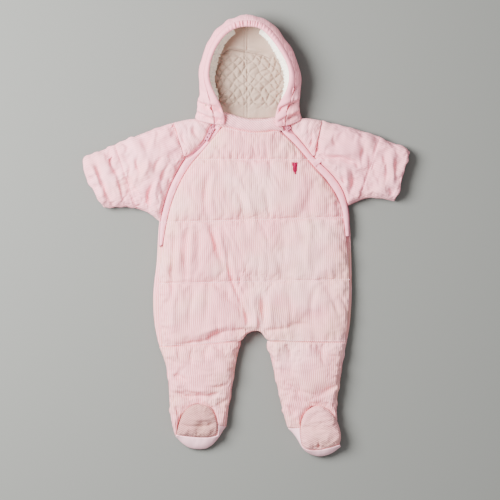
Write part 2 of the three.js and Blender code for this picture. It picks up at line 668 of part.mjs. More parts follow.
// What each side has in pairs
for (const side of ["left", "right"]) {
  const mirrored = side === "right";
  // Edges that run outward on the left run inward on the right, so a panel's left and right swap
  const sided = (inner, outer) => (mirrored ? { left: inner, right: outer } : { left: outer, right: inner });

  const outerEdge = mirrored ? "right" : "left";
  const innerEdge = mirrored ? "left" : "right";
  const zipInner = through(ZIP_INNER[side]);
  const zipOuter = through(ZIP_OUTER[side]);
  const shoulderSeam = through(SHOULDER_SEAM[side]);
  const yokeFoot = shareAtHeight(zipOuter, SHOULDER_SEAM[side][0].y);

  // Shoulder yoke, between the zip and the shoulder seam
  const yokeInner = stretch(zipOuter, yokeFoot + YOKE_START.zip, 1);
  const yokeOuter = stretch(shoulderSeam, YOKE_START.shoulder, 1);
  const yoke = sided(yokeInner, yokeOuter);
  add(`shoulder_${side}`, paddedPanel({
    edges: {
      first: through([yoke.left.getPointAt(0), yoke.right.getPointAt(0)]),
      last: through(mirrored ? SHOULDER_TOP.right.slice().reverse() : SHOULDER_TOP.left),
      ...yoke,
    },
    across: crowded(6, 0.5),
    rows: crowded(10, 0.3),
    loft: YOKE_LOFT,
    brims: {
      [outerEdge]: { keep: 0.75, round: 9 },
      [innerEdge]: { keep: 0.4, round: 11 },
      last: { keep: 0.4, round: 10 },
    },
    folds: YOKE_FOLDS[side],
  }), CORDUROY);

  // Sleeve: the front lies on the back, each from the armhole to the cuff
  const sleeve = SLEEVE[side];
  const sleeveEdges = (armhole) => ({
    first: through(mirrored ? sleeve.under : sleeve.under.slice().reverse()),
    last: through(mirrored ? sleeve.over : sleeve.over.slice().reverse()),
    ...sided(armhole, through(sleeve.cuff)),
  });
  const armpit = shareAtHeight(zipOuter, sleeve.under[0].y);
  const sleeveFront = cornered(stretch(zipOuter, armpit, yokeFoot), shoulderSeam, ARMHOLE_CORNER);
  const outline = through(OUTLINE[side]);
  const sleeveBack = stretch(outline, shareAtHeight(outline, sleeve.under[0].y), 1);
  add(`sleeve_front_${side}`, paddedPanel({
    edges: sleeveEdges(sleeveFront),
    across: crowded(14, 0.3),
    rows: crowdedRound(ARMHOLE_CORNER, 8, 4, 0.4),
    gaps: { [innerEdge]: 0.45 },
    loft: SLEEVE_LOFT,
    brims: {
      [innerEdge]: { keep: 0.45, round: 9 },
      [outerEdge]: { keep: 0.8, round: 9 },
      first: { keep: 0.3, round: 14 },
      last: { keep: 0.3, round: 16 },
    },
    quilting: SLEEVE_STITCHING[side],
    folds: SLEEVE_FOLDS[side],
  }), CORDUROY);
  add(`sleeve_back_${side}`, backPanel({
    edges: sleeveEdges(sleeveBack),
    across: crowded(8, 0.3),
    rows: crowded(7, 0.6),
    free: ["first", "last", outerEdge],
  }), CORDUROY);

  // Leg, whose front ends round the foot's dome and in a short seam to the heel
  const leg = LEG[side];
  const foot = FOOT[side];
  const dome = through(foot.dome);
  const heel = shareNear(dome, foot.heel);
  const ankle = shareNear(dome, foot.ankle);
  const heelSeam = through([dome.getPointAt(heel), through(leg.inner).getPointAt(0)]);
  const shin = mirrored
    ? cornered(stretch(heelSeam, 1, 0), stretch(dome, heel, ankle), 1 - ANKLE_CORNER)
    : cornered(stretch(dome, ankle, heel), heelSeam, ANKLE_CORNER);
  const legEdges = {
    last: through(leg.top),
    ...sided(through(leg.inner), through(leg.outer)),
  };
  const innerFrom = shareAtHeight(through(leg.inner), foot.backSeam.innerY);
  const outerFrom = shareAtHeight(through(leg.outer), foot.backSeam.outerY);
  const backEnds = sided(through(leg.inner).getPointAt(innerFrom), through(leg.outer).getPointAt(outerFrom));
  const backSeam = through([backEnds.left, backEnds.right]);
  add(`front_leg_${side}`, paddedPanel({
    edges: { first: shin, ...legEdges },
    across: mirrored
      ? crowdedRound(1 - ANKLE_CORNER, 3, 16, 0.2)
      : crowdedRound(ANKLE_CORNER, 16, 3, 0.2),
    rows: crowded(9, 0.3),
    gaps: { first: 0.75 },
    loft: LEG_LOFT,
    brims: {
      left: { keep: 0.35, round: 15 },
      right: { keep: 0.35, round: 15 },
      first: { keep: 0.68, round: 9 },
      last: { keep: 0.76, round: 9 },
    },
    folds: LEG_FOLDS[side],
  }), CORDUROY);
  add(`back_leg_${side}`, backPanel({
    edges: {
      first: backSeam,
      last: legEdges.last,
      ...sided(stretch(through(leg.inner), innerFrom, 1), stretch(through(leg.outer), outerFrom, 1)),
    },
    across: crowded(8, 0.6),
    rows: crowded(8, 0),
    free: ["left", "right"],
  }), CORDUROY);

  // Foot
  const { from, to } = foot.instep;
  add(`vamp_${side}`, paddedPanel({
    edges: {
      first: through(foot.seam),
      last: stretch(dome, from, to),
      left: stretch(dome, 0, from),
      right: stretch(dome, 1, to),
    },
    across: crowded(9, 0.1),
    rows: crowded(9, 0.1),
    loft: FOOT_LOFT,
    brims: {
      left: { keep: 0.6, round: 22 },
      right: { keep: 0.6, round: 22 },
      first: { keep: 0.62, round: 20 },
      last: { keep: 0.62, round: 22 },
    },
    folds: VAMP_FOLDS[side],
  }), CORDUROY);
  const seam = through(foot.seam);
  const rim = mirrored
    ? cornered(stretch(dome, heel, 0), seam, SOLE_CORNER.right)
    : cornered(seam, stretch(dome, 1, heel), SOLE_CORNER.left);
  add(`sole_${side}`, soleGeometry({
    toe: through(foot.toe),
    rim,
    back: backSeam,
    across: crowdedRound(SOLE_CORNER[side], mirrored ? 4 : 10, mirrored ? 9 : 3, 0),
  }), CORDUROY);

  // Zip, with its slider over the teeth
  const zipEdges = sidedZip(zipInner, zipOuter, mirrored);
  add(`zip_${side}`, tapeGeometry(zipEdges, outerEdge), TAPE);
  add(`zip_flap_${side}`, weltGeometry(zipEdges, outerEdge), WELT);
  const teethAt = plan(zipEdges);
  const teeth = mirrored ? TEETH_SHARE : 1 - TEETH_SHARE;
  const { share, away } = SLIDER_PLACE[side];
  const spot = teethAt(teeth, share);
  const ahead = teethAt(teeth, share - ZIP_STEP).sub(spot);
  const turn = ahead.angle() + (away ? Math.PI : 0);
  const slider = add(`slider_${side}`, sliderGeometry(), HARDWARE);
  slider.position.set(spot.x, spot.y, SLIDER_BASE);
  slider.rotation.z = turn;
  const pull = add(`pull_tab_${side}`, pullGeometry(), HARDWARE);
  pull.position.set(spot.x, spot.y, SLIDER_BASE + HINGE_RISE);
  pull.rotation.z = turn;
}

function sidedZip(inner, outer, mirrored) {
  const [left, right] = mirrored ? [inner, outer] : [outer, inner];
  return {
    first: through([left.getPointAt(0), right.getPointAt(0)]),
    last: through([left.getPointAt(1), right.getPointAt(1)]),
    left,
    right,
  };
}

// The zip's tape with its row of teeth along the outer edge
function tapeGeometry(edges, outerEdge) {
  const shares = [0, 0.45, 0.68, 0.76, 0.9, 1];
  const across = outerEdge === "right" ? shares : shares.map((share) => 1 - share).reverse();
  const grid = cells({ edges, across, rows: crowded(15, 0.1), gaps: { [outerEdge]: 0.5 } });
  const raised = [0, 0, 0, 1, 1, 0.6];
  const order = outerEdge === "right" ? raised : raised.slice().reverse();
  return wall(
    grid.map((row) => row.map(({ at }, column) =>
      new THREE.Vector3(at.x, at.y, BED + TAPE_WALL + order[column] * TEETH.height))),
    grid.map((row) => row.map(({ at }) => new THREE.Vector3(at.x, at.y, BED))));
}

// The satin welt that covers the tape as far as the teeth
function weltGeometry(edges, outerEdge) {
  const shares = [0, 0.08, 0.25, 0.45, 0.6, 0.68];
  const across = outerEdge === "right" ? shares : shares.map((share) => 1 - share).reverse();
  const grid = cells({ edges, across, rows: crowded(15, 0.1) });
  const swell = [0.62, 0.9, 1, 0.9, 0.62, 0.35];
  const order = outerEdge === "right" ? swell : swell.slice().reverse();
  return wall(
    grid.map((row) => row.map(({ at }, column) =>
      new THREE.Vector3(at.x, at.y, WELT_LIFT + order[column] * WELT_LOFT))),
    grid.map((row) => row.map(({ at }) => new THREE.Vector3(at.x, at.y, WELT_LIFT))));
}

// The sole shows as a crescent round the toe and a patch beside the heel, and lies flat under the
// vamp. Each row lies a share of the way between two paths, and some millimetres short of that.
function soleGeometry({ toe, rim, back, across }) {
  const rows = [
    { from: toe, to: rim, share: 0, short: 0, top: 8.5, under: 4.5 },
    { from: toe, to: rim, share: 0.18, short: 0, top: 13.5, under: 2 },
    { from: toe, to: rim, share: 0.5, short: 0, top: 18, under: 0.4 },
    { from: toe, to: rim, share: 1, short: 1, top: 21, under: 0 },
    { from: toe, to: rim, share: 1, short: 0.2, top: BACK_TOP, under: 0 },
    { from: rim, to: back, share: 0.5, short: 0, top: BACK_TOP, under: 0 },
    { from: rim, to: back, share: 1, short: 0.5, top: BACK_TOP, under: 0 },
  ];
  const grid = (key) => rows.map((row) => across.map((u) => {
    const [start, end] = [row.from.getPointAt(u), row.to.getPointAt(u)];
    const way = start.distanceTo(end);
    const at = start.lerp(end, row.share - row.short / way);
    return new THREE.Vector3(at.x, at.y, row[key]);
  }));
  return wall(grid("top"), grid("under"));
}

// Hood

// A section of the hood between the table's rows, at a share of the way from neck to crown
function hoodSection(side, share) {
  const table = HOOD[side];
  const place = share * (table.length - 1);
  const row = Math.min(Math.floor(place), table.length - 2);
  const before = table[Math.max(row - 1, 0)];
  const [start, end] = [table[row], table[row + 1]];
  const after = table[Math.min(row + 2, table.length - 1)];
  const eased = (key) => catmullRom(before[key], start[key], end[key], after[key], place - row);
  const section = Object.fromEntries(Object.keys(start).map((key) => [key, eased(key)]));
  section.widest = new THREE.Vector2(section.x, section.y);
  section.heel = new THREE.Vector2(CENTRE, section.foot);
  section.reach = section.widest.distanceTo(section.heel);
  return section;
}

function catmullRom(a, b, c, d, t) {
  const slopeB = (c - a) / 2;
  const slopeC = (d - b) / 2;
  return b + slopeB * t + (3 * (c - b) - 2 * slopeB - slopeC) * t * t
    + (2 * (b - c) + slopeB + slopeC) * t * t * t;
}

// The shell's outer profile: how far in and how high each of its rows lies
function hoodProfile({ seam, rim, wide, reach }) {
  const upper = HOOD_UPPER.map(({ inward, up }) => [seam * inward, lerp(wide, rim, up)]);
  const lower = HOOD_LOWER.map(({ inset, height }) => [inset, wide * height]);
  const [flatFrom] = last(lower);
  const floor = Array.from({ length: FLOOR_ROWS }, (_, i) =>
    [lerp(flatFrom, reach, (i + 1) / FLOOR_ROWS), 0]);
  return [...upper, ...lower, ...floor].map(([inset, z]) => new THREE.Vector2(inset, z));
}

// A profile moved inward by a distance, square to itself
function movedIn(profile, distance) {
  return profile.map((point, i) => {
    const along = profile[Math.min(i + 1, profile.length - 1)].clone()
      .sub(profile[Math.max(i - 1, 0)]).normalize();
    const inward = i === profile.length - 1 ? new THREE.Vector2(0, 1) : new THREE.Vector2(-along.y, along.x);
    return point.clone().addScaledVector(inward, distance);
  });
}

// A point of a section, from its distance in from the widest point and its height. The front
// corners reach down over the zips above a height.
const CORNER_FROM = 13;
function hoodPoint({ widest, heel, reach, dip, rim }, { x: inset, y: z }) {
  const at = widest.clone().lerp(heel, inset / reach);
  const droop = dip * clamp((z - CORNER_FROM) / (rim - CORNER_FROM), 0, 1.05);
  return new THREE.Vector3(at.x, at.y - droop, z);
}

// A layer of one half of the hood between two distances in from the shell's outer face
function hoodLayer({ side, outward, inward, rows: kept, columns, relief }) {
  const face = (distance, raised) => columns.map((column) => {
    const section = hoodSection(side, column / HOOD_COLUMNS);
    const profile = movedIn(hoodProfile(section), distance);
    return kept.map((row) => {
      const point = hoodPoint(section, profile[row]);
      if (raised) point.z += raised(point, row, column);
      point.x += side === "left" ? -SEAM / 2 : SEAM / 2;
      return point;
    });
  });
  return wall(face(outward), face(inward, relief));
}

const allColumns = Array.from({ length: HOOD_COLUMNS + 1 }, (_, i) => i);
const HOOD_ROWS = HOOD_UPPER.length + HOOD_LOWER.length + FLOOR_ROWS;
const liningRows = Array.from({ length: HOOD_ROWS - 1 }, (_, i) => i + 1);
// The shell's rows on the floor lie in one plane, so only the last of them is kept
const shellRows = [...Array(HOOD_UPPER.length + HOOD_LOWER.length).keys(), HOOD_ROWS - 1];
const fleeceColumns = allColumns.slice(FLEECE_SPAN.first, FLEECE_SPAN.last + 1);
const LINING_OUT = HOOD_WALL + CLOTH_GAP;
const LINING_IN = LINING_OUT + LINING_WALL;
const FLEECE_OUT = LINING_IN + CLOTH_GAP;
const FIRST_QUILTED_ROW = 7;

// The lining's diamond quilting: every other point of its grid stands up
function quiltRelief(point, row, column) {
  const puffed = (row + column) % 2 === 0;
  const inside = row >= FIRST_QUILTED_ROW && column > 0 && column < HOOD_COLUMNS;
  const quiltedArea = point.y > COLLAR_SHADE && point.y < SMOOTH_CROWN;
  return puffed && inside && quiltedArea ? QUILT_RISE : 0;
}

for (const side of ["left", "right"]) {
  add(`hood_${side}`, hoodLayer({
    side, outward: 0, inward: HOOD_WALL, rows: shellRows, columns: allColumns,
  }), CORDUROY);
  add(`hood_lining_${side}`, hoodLayer({
    side, outward: LINING_OUT, inward: LINING_IN, rows: liningRows, columns: allColumns,
    relief: quiltRelief,
  }), LINING);
  add(`fleece_${side}`, hoodLayer({
    side, outward: FLEECE_OUT, inward: FLEECE_OUT + FLEECE_WALL, rows: [2, 3, 4, 5, 6],
    columns: fleeceColumns,
  }), FLEECE);
}

// Shares of the way from a front corner to the crown, closer together in the gathered stretch
const rimShares = [
  ...Array.from({ length: RIM_STEPS.plain }, (_, i) => (i / RIM_STEPS.plain) * RIM_STEPS.gatherFrom),
  ...Array.from({ length: RIM_STEPS.gathered + 1 }, (_, i) =>
    lerp(RIM_STEPS.gatherFrom, 1, i / RIM_STEPS.gathered)),
];

// The casing round the face, from one front corner over the crown to the other
function rimGeometry() {
  const stations = [
    ...rimShares.map((share, i) => ({ side: "left", share, step: i })),
    ...rimShares.slice(0, -1).reverse().map((share, i) =>
      ({ side: "right", share, step: rimShares.length + i })),
  ];
  return rod(stations.map(({ side, share, step }) => {
    const section = hoodSection(side, share);
    const width = section.edge - section.seam;
    const gathered = share > RIM_STEPS.gatherFrom && step % 2 ? RIM_GATHER : 0;
    return RIM_SECTION.map(({ across, up }) => hoodPoint(section, {
      x: section.seam + RIM_OFF_SHELL + across * width,
      y: section.rim + up - (up > 0 ? gathered : 0),
    }));
  }));
}

add("hood_rim", rimGeometry(), WELT);

// Zip sliders and their pull tabs

// A flat outline made thick, its underside at z
function slab(outline, z, thickness) {
  const shape = new THREE.Shape(outline.map(([x, y]) => new THREE.Vector2(x, y)));
  const geometry = new THREE.ExtrudeGeometry(shape, { depth: thickness, bevelEnabled: false });
  return geometry.translate(0, 0, z);
}

// The slider, along +X from its hinge end: a waisted plate with an ear on each side of its slot,
// drawn as one outline across the zip and made as long as the slider
function sliderGeometry() {
  const { width, base, ear, earHeight, slot, length } = SLIDER;
  const section = [
    [-width / 2, 0], [width / 2, 0], [width / 2, base], [slot / 2 + ear, base],
    [slot / 2 + ear, earHeight], [slot / 2, earHeight], [slot / 2, base],
    [-slot / 2, base], [-slot / 2, earHeight], [-slot / 2 - ear, earHeight],
    [-slot / 2 - ear, base], [-width / 2, base],
  ];
  return slab(section, 0, length)
    .rotateX(Math.PI / 2)
    .rotateZ(Math.PI / 2)
    .translate(-length / 2, 0, 0);
}

// The pull tab, along +X from its hinge, with a round neck between the ears
function pullGeometry() {
  const { length, width, neck, neckTo, shoulder, behind, corner, thickness } = PULL;
  const half = [
    [-behind, neck / 2], [neckTo, neck / 2], [shoulder, width / 2],
    [length - corner, width / 2], [length, width / 2 - corner],
  ];
  const otherHalf = half.map(([x, y]) => [x, -y]).reverse();
  return slab([...half, ...otherHalf], -thickness / 2, thickness);
}

export default suit;
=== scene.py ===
"""A baby's padded corduroy snowsuit, laid flat on its back and seen from straight above.

Left and right are the viewer's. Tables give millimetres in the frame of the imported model, whose
origin is on the floor at the middle of the suit, with +Y toward the hood and +Z up.
"""

from __future__ import annotations

import logging
import math
from dataclasses import dataclass, field
from enum import Enum
from typing import Callable, Optional, Sequence

import bmesh
import bpy
import numpy as np
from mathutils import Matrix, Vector
from mathutils.bvhtree import BVHTree
from mathutils.kdtree import KDTree

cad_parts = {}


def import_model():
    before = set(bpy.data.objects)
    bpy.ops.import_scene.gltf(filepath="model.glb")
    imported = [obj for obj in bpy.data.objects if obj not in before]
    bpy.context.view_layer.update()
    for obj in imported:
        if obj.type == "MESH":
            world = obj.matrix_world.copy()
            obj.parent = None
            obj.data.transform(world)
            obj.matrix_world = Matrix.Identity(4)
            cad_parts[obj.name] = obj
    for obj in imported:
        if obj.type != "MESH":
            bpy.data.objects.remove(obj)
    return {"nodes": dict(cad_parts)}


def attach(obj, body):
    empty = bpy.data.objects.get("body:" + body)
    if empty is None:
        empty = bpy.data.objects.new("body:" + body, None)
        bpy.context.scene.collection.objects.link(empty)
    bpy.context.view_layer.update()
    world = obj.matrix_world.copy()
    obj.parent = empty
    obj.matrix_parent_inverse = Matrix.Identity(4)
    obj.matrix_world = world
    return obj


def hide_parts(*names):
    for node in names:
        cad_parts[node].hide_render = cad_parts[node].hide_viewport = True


LOG = logging.getLogger("snowsuit")
MM = 0.001
ROOT_BODY = "suit"
TAB_BODY = "pull_left"
SIDES = ("left", "right")
LOOK_HEIGHT = 0.2
Path = Sequence[tuple[float, float]]


class Slot(str, Enum):
    """The record's material slots."""

    CORDUROY = "corduroy"
    WELT = "welt"
    LINING = "lining"
    FLEECE = "fleece"
    TAPE = "tape"
    HARDWARE = "hardware"


# Colours and shader values


def linear(red: int, green: int, blue: int) -> tuple[float, float, float, float]:
    """Turns a display colour of 0 to 255 into the scene's linear colour."""

    def channel(value: int) -> float:
        share = value / 255
        return share / 12.92 if share <= 0.04045 else ((share + 0.055) / 1.055) ** 2.4

    return channel(red), channel(green), channel(blue), 1.0


class Signal:
    """A value in a shader that plain arithmetic can be done on."""

    def __init__(self, tree: bpy.types.NodeTree, socket: bpy.types.NodeSocket) -> None:
        """Keeps the tree and the socket that gives the value."""
        self.tree = tree
        self.socket = socket

    def plug(self, target: bpy.types.NodeSocket) -> None:
        """Feeds this value into a socket."""
        self.tree.links.new(self.socket, target)

    def apply(self, operation: str, *others: "Signal | float") -> "Signal":
        """Runs a Math node on this value.

        Args:
            operation: The Math node's operation.
            others: Its further operands.

        Returns:
            The result.
        """
        node = self.tree.nodes.new("ShaderNodeMath")
        node.operation = operation
        for socket, value in zip(node.inputs, (self, *others)):
            if isinstance(value, Signal):
                value.plug(socket)
            else:
                socket.default_value = value
        return Signal(self.tree, node.outputs[0])

    def constant(self, value: float) -> "Signal":
        """Gives a fixed value in the same tree."""
        node = self.tree.nodes.new("ShaderNodeValue")
        node.outputs[0].default_value = value
        return Signal(self.tree, node.outputs[0])

    def __add__(self, other: "Signal | float") -> "Signal":
        """Sum."""
        return self.apply("ADD", other)

    def __sub__(self, other: "Signal | float") -> "Signal":
        """Difference."""
        return self.apply("SUBTRACT", other)

    def __mul__(self, other: "Signal | float") -> "Signal":
        """Product."""
        return self.apply("MULTIPLY", other)

    def __truediv__(self, other: "Signal | float") -> "Signal":
        """Quotient."""
        return self.apply("DIVIDE", other)

    def __pow__(self, other: "Signal | float") -> "Signal":
        """Power."""
        return self.apply("POWER", other)

    def __rsub__(self, other: float) -> "Signal":
        """Difference with the number first."""
        return self.constant(other).apply("SUBTRACT", self)

    def __rtruediv__(self, other: float) -> "Signal":
        """Quotient with the number first."""
        return self.constant(other).apply("DIVIDE", self)

    __radd__ = __add__
    __rmul__ = __mul__


class Shader:
    """A material under construction, with its coordinates and its textures."""

    def __init__(self, name: str, roughness: float) -> None:
        """Makes the material with one Principled shader.

        Args:
            name: The material's name.
            roughness: Its constant roughness.
        """
        self.material = bpy.data.materials.new(name)
        self.material.use_nodes = True
        self.tree = self.material.node_tree
        self.surface = self.tree.nodes["Principled BSDF"]
        self.surface.inputs["Roughness"].default_value = roughness
        self.surface.inputs["Specular IOR Level"].default_value = 0.25

    def grain(self) -> tuple[Signal, Signal]:
        """Gives the place across and along the cloth's grain, in metres."""
        node = self.tree.nodes.new("ShaderNodeAttribute")
        node.attribute_name = "grain"
        parts = self.tree.nodes.new("ShaderNodeSeparateXYZ")
        self.tree.links.new(node.outputs["Vector"], parts.inputs[0])
        return Signal(self.tree, parts.outputs[0]), Signal(self.tree, parts.outputs[1])

    def noise(self, scale: float, detail: float = 2.0) -> Signal:
        """Gives a noise over the object's own coordinates.

        Args:
            scale: Grains for each metre.
            detail: Number of finer layers.

        Returns:
            The noise, from 0 to 1.
        """
        place = self.tree.nodes.new("ShaderNodeTexCoord")
        node = self.tree.nodes.new("ShaderNodeTexNoise")
        node.inputs["Scale"].default_value = scale
        node.inputs["Detail"].default_value = detail
        self.tree.links.new(place.outputs["Object"], node.inputs["Vector"])
        return Signal(self.tree, node.outputs[0])

    def blend(self, low: Sequence[float], high: Sequence[float], share: Signal) -> bpy.types.NodeSocket:
        """Mixes two colours, each a constant or a socket.

        Args:
            low: The colour at share 0.
            high: The colour at share 1.
            share: The share of the second.

        Returns:
            The mixed colour's socket.
        """
        node = self.tree.nodes.new("ShaderNodeMix")
        node.data_type = "RGBA"
        share.plug(node.inputs["Factor"])
        for socket, colour in ((node.inputs[6], low), (node.inputs[7], high)):
            if isinstance(colour, bpy.types.NodeSocket):
                self.tree.links.new(colour, socket)
            else:
                socket.default_value = colour
        return node.outputs[2]

    def colour(self, socket: bpy.types.NodeSocket) -> None:
        """Sets the base colour."""
        self.tree.links.new(socket, self.surface.inputs["Base Color"])

    def bump(self, height: Signal, depth: float, strength: float = 1.0) -> None:
        """Sets the relief.

        Args:
            height: The relief's height, from 0 to 1.
            depth: The full height in metres.
            strength: How much of it shows.
        """
        node = self.tree.nodes.new("ShaderNodeBump")
        node.inputs["Strength"].default_value = strength
        node.inputs["Distance"].default_value = depth
        height.plug(node.inputs["Height"])
        self.tree.links.new(node.outputs[0], self.surface.inputs["Normal"])


@dataclass(frozen=True)
class Corduroy:
    """Cotton corduroy: piled ribs with painted shade darkening the valleys between them, and worn cream
    patches.
    """

    name: str
    rib: tuple[int, int, int] = (254, 180, 187)
    valley_shade: tuple[int, int, int] = (220, 126, 132)
    worn: tuple[int, int, int] = (218, 190, 150)
    pitch: float = 3.1 * MM
    depth: float = 0.5 * MM
    wear: float = 0.7

    def make(self) -> bpy.types.Material:
        """Builds the material."""
        shader = Shader(self.name, 0.92)
        across, along = shader.grain()
        wobble = shader.noise(60, 1.0) * (0.9 * self.pitch)
        phase = (across + wobble) * (2 * math.pi / self.pitch)
        rib = phase.apply("COSINE") * 0.5 + 0.5
        patches = (shader.noise(16, 3.0) - 0.42) * (4.0 * self.wear)
        worn = patches.apply("MAXIMUM", 0.0).apply("MINIMUM", 1.0)
        fibres = shader.noise(2600, 1.0)
        # Between the ribs the pink turns darker: painted shade in the grooves.
        ribbed = shader.blend(linear(*self.valley_shade), linear(*self.rib), rib ** 0.8)
        yellowed = shader.blend(ribbed, linear(*self.worn), worn * (1.0 - rib) * 0.85)
        faded = (shader.noise(14, 3.0) - 0.5) * 2.0
        shader.colour(shader.blend(yellowed, linear(*(min(level + 18, 255) for level in self.rib)),
                                   faded.apply("MAXIMUM", 0.0).apply("MINIMUM", 0.3)))
        shader.bump(rib ** 0.6 + fibres * 0.25, self.depth, 0.8)
        shader.surface.inputs["Sheen Weight"].default_value = 0.12
        return shader.material


@dataclass(frozen=True)
class Plain:
    """A cloth or metal of one colour with a fine grain in it."""

    name: str
    tone: tuple[int, int, int]
    shade: tuple[int, int, int]
    roughness: float = 0.8
    grains: float = 1400.0
    depth: float = 0.12 * MM
    sheen: float = 0.0
    coat: float = 0.0

    def make(self) -> bpy.types.Material:
        """Builds the material."""
        shader = Shader(self.name, self.roughness)
        grain = shader.noise(self.grains, 2.0)
        broad = shader.noise(40, 2.0)
        shader.colour(shader.blend(linear(*self.shade), linear(*self.tone), grain * 0.5 + broad * 0.6))
        shader.bump(grain, self.depth, 0.6)
        shader.surface.inputs["Sheen Weight"].default_value = self.sheen
        shader.surface.inputs["Coat Weight"].default_value = self.coat
        return shader.material


FINISHES = {
    "front": Corduroy("front_corduroy"),
    "limb": Corduroy("limb_corduroy", rib=(253, 176, 187), valley_shade=(232, 144, 157), wear=0.3, depth=0.3 * MM,
                     pitch=2.6 * MM),
    "hood": Corduroy("hood_corduroy", rib=(253, 168, 180), valley_shade=(240, 142, 158), wear=0.2, depth=0.25 * MM,
                     pitch=2.4 * MM),
    "vamp_left": Corduroy("vamp_corduroy_left", rib=(204, 146, 142), valley_shade=(170, 112, 110),
                          worn=(190, 152, 128), wear=0.9, pitch=2.6 * MM),
    "vamp_right": Corduroy("vamp_corduroy_right", rib=(240, 168, 172), valley_shade=(214, 138, 144),
                           worn=(222, 176, 152), wear=0.7, pitch=2.6 * MM),
    "collar": Corduroy("collar_corduroy", rib=(252, 184, 192), valley_shade=(218, 134, 146), wear=0.4),
    "sole": Plain("sole_cotton", (254, 202, 210), (244, 182, 192), 0.85),
    "welt": Plain("sateen", (250, 168, 184), (236, 146, 164), 0.5, sheen=0.2),
    "rim": Plain("rim_sateen", (252, 166, 180), (240, 142, 158), 0.6, sheen=0.2),
    "lining": Plain("lining_cotton", (184, 160, 143), (150, 125, 109), 0.85),
    # Dark brown stitches for the lining's crease and centre seam: painted shade of the crease and the seam
    # line.
    "lining_thread": Plain("lining_thread", (120, 92, 84), (100, 76, 70), 0.8),
    "fleece": Plain("cream_fleece", (255, 253, 240), (244, 236, 218), 1.0, grains=700.0, depth=1.2 * MM),
    "tape": Plain("zip_tape", (192, 118, 134), (166, 96, 112), 0.8),
    "teeth": Plain("zip_teeth", (226, 132, 154), (196, 100, 126), 0.35, grains=300.0, coat=0.3),
    "enamel": Plain("pink_enamel", (226, 140, 162), (206, 116, 140), 0.35, grains=200.0, depth=0.02 * MM,
                    coat=0.4),
    "thread": Plain("pink_thread", (255, 218, 224), (252, 200, 208), 0.7),
    # Thread for the cuff stitches, darker than the cloth as painted shade of the groove they sink into.
    "groove_shade_thread": Plain("shaded_thread", (222, 146, 162), (200, 120, 138), 0.8),
    # Near-black dots on the pull tab: painted shade standing for its small holes.
    "tab_hole_shade": Plain("dark_enamel", (84, 30, 44), (66, 22, 34), 0.5),
    "crimson": Plain("crimson_thread", (178, 8, 76), (136, 4, 54), 0.55, grains=2600.0),
}


# Relief of the cloth


def ripple(x: np.ndarray, y: np.ndarray, length: float, seed: int, heading: float = 0.0,
           spread: float = math.pi) -> np.ndarray:
    """Gives a smooth uneven swell over the plan.

    Args:
        x: Places in metres.
        y: Places in metres.
        length: The swell's wavelength in metres.
        seed: Seed of its waves.
        heading: The direction in which the waves follow one another.
        spread: How far their directions depart from it.

    Returns:
        Heights with a mean square of 1.
    """
    random = np.random.default_rng(seed)
    waves = 14
    total = np.zeros_like(x)
    for _ in range(waves):
        angle = heading + random.uniform(-spread, spread)
        turns = 2 * math.pi / (length * random.uniform(0.65, 1.5))
        total += np.sin((x * math.cos(angle) + y * math.sin(angle)) * turns + random.uniform(0, 2 * math.pi))
    return total / math.sqrt(waves / 2)


def beside(start: Sequence[float], end: Sequence[float], x: np.ndarray,
           y: np.ndarray) -> tuple[np.ndarray, np.ndarray, float]:
    """Measures places from a straight line of the plan.

    Args:
        start: Where the line starts, in millimetres.
        end: Where it ends, in millimetres.
        x: Places in metres.
        y: Places in metres.

    Returns:
        The distances along it and across it, and its length, in metres.
    """
    way = (np.array(end) - np.array(start)) * MM
    length = float(np.hypot(*way))
    way = way / length
    x, y = x - start[0] * MM, y - start[1] * MM
    return x * way[0] + y * way[1], x * way[1] - y * way[0], length


@dataclass(frozen=True)
class Fold:
    """A ridge of the cloth, or a crease where its rise is negative."""

    start: tuple[float, float]
    end: tuple[float, float]
    rise: float
    width: float
    bend: float = 0.0

    def height(self, x: np.ndarray, y: np.ndarray) -> np.ndarray:
        """Gives what the fold adds to the height.

        Args:
            x: Places in metres.
            y: Places in metres.

        Returns:
            Heights in metres.
        """
        along, across, length = beside(self.start, self.end, x, y)
        held = np.clip(along / length, 0, 1)
        bow = self.bend * MM * np.sin(math.pi * held)
        off = np.hypot(across - bow, along - held * length)
        swell = np.sin(math.pi * np.clip(0.1 + 0.8 * held, 0, 1))
        near, wide = (np.exp(-((off / (width * MM)) ** 2)) for width in (self.width, 2.6 * self.width))
        return self.rise * MM * swell * (1.15 * near + 0.5 * wide)


def folds(*rows: tuple[float, ...]) -> tuple[Fold, ...]:
    """Makes folds from a table.

    Args:
        rows: X and Y of the start, X and Y of the end, rise, width and bend, in millimetres.

    Returns:
        The folds.
    """
    return tuple(Fold(row[:2], row[2:4], *row[4:]) for row in rows)


@dataclass(frozen=True)
class Puckers:
    """Small gathers that a seam or a stitched line draws into the cloth beside it."""

    rise: float = 0.9
    spacing: float = 11.0
    reach: float = 11.0


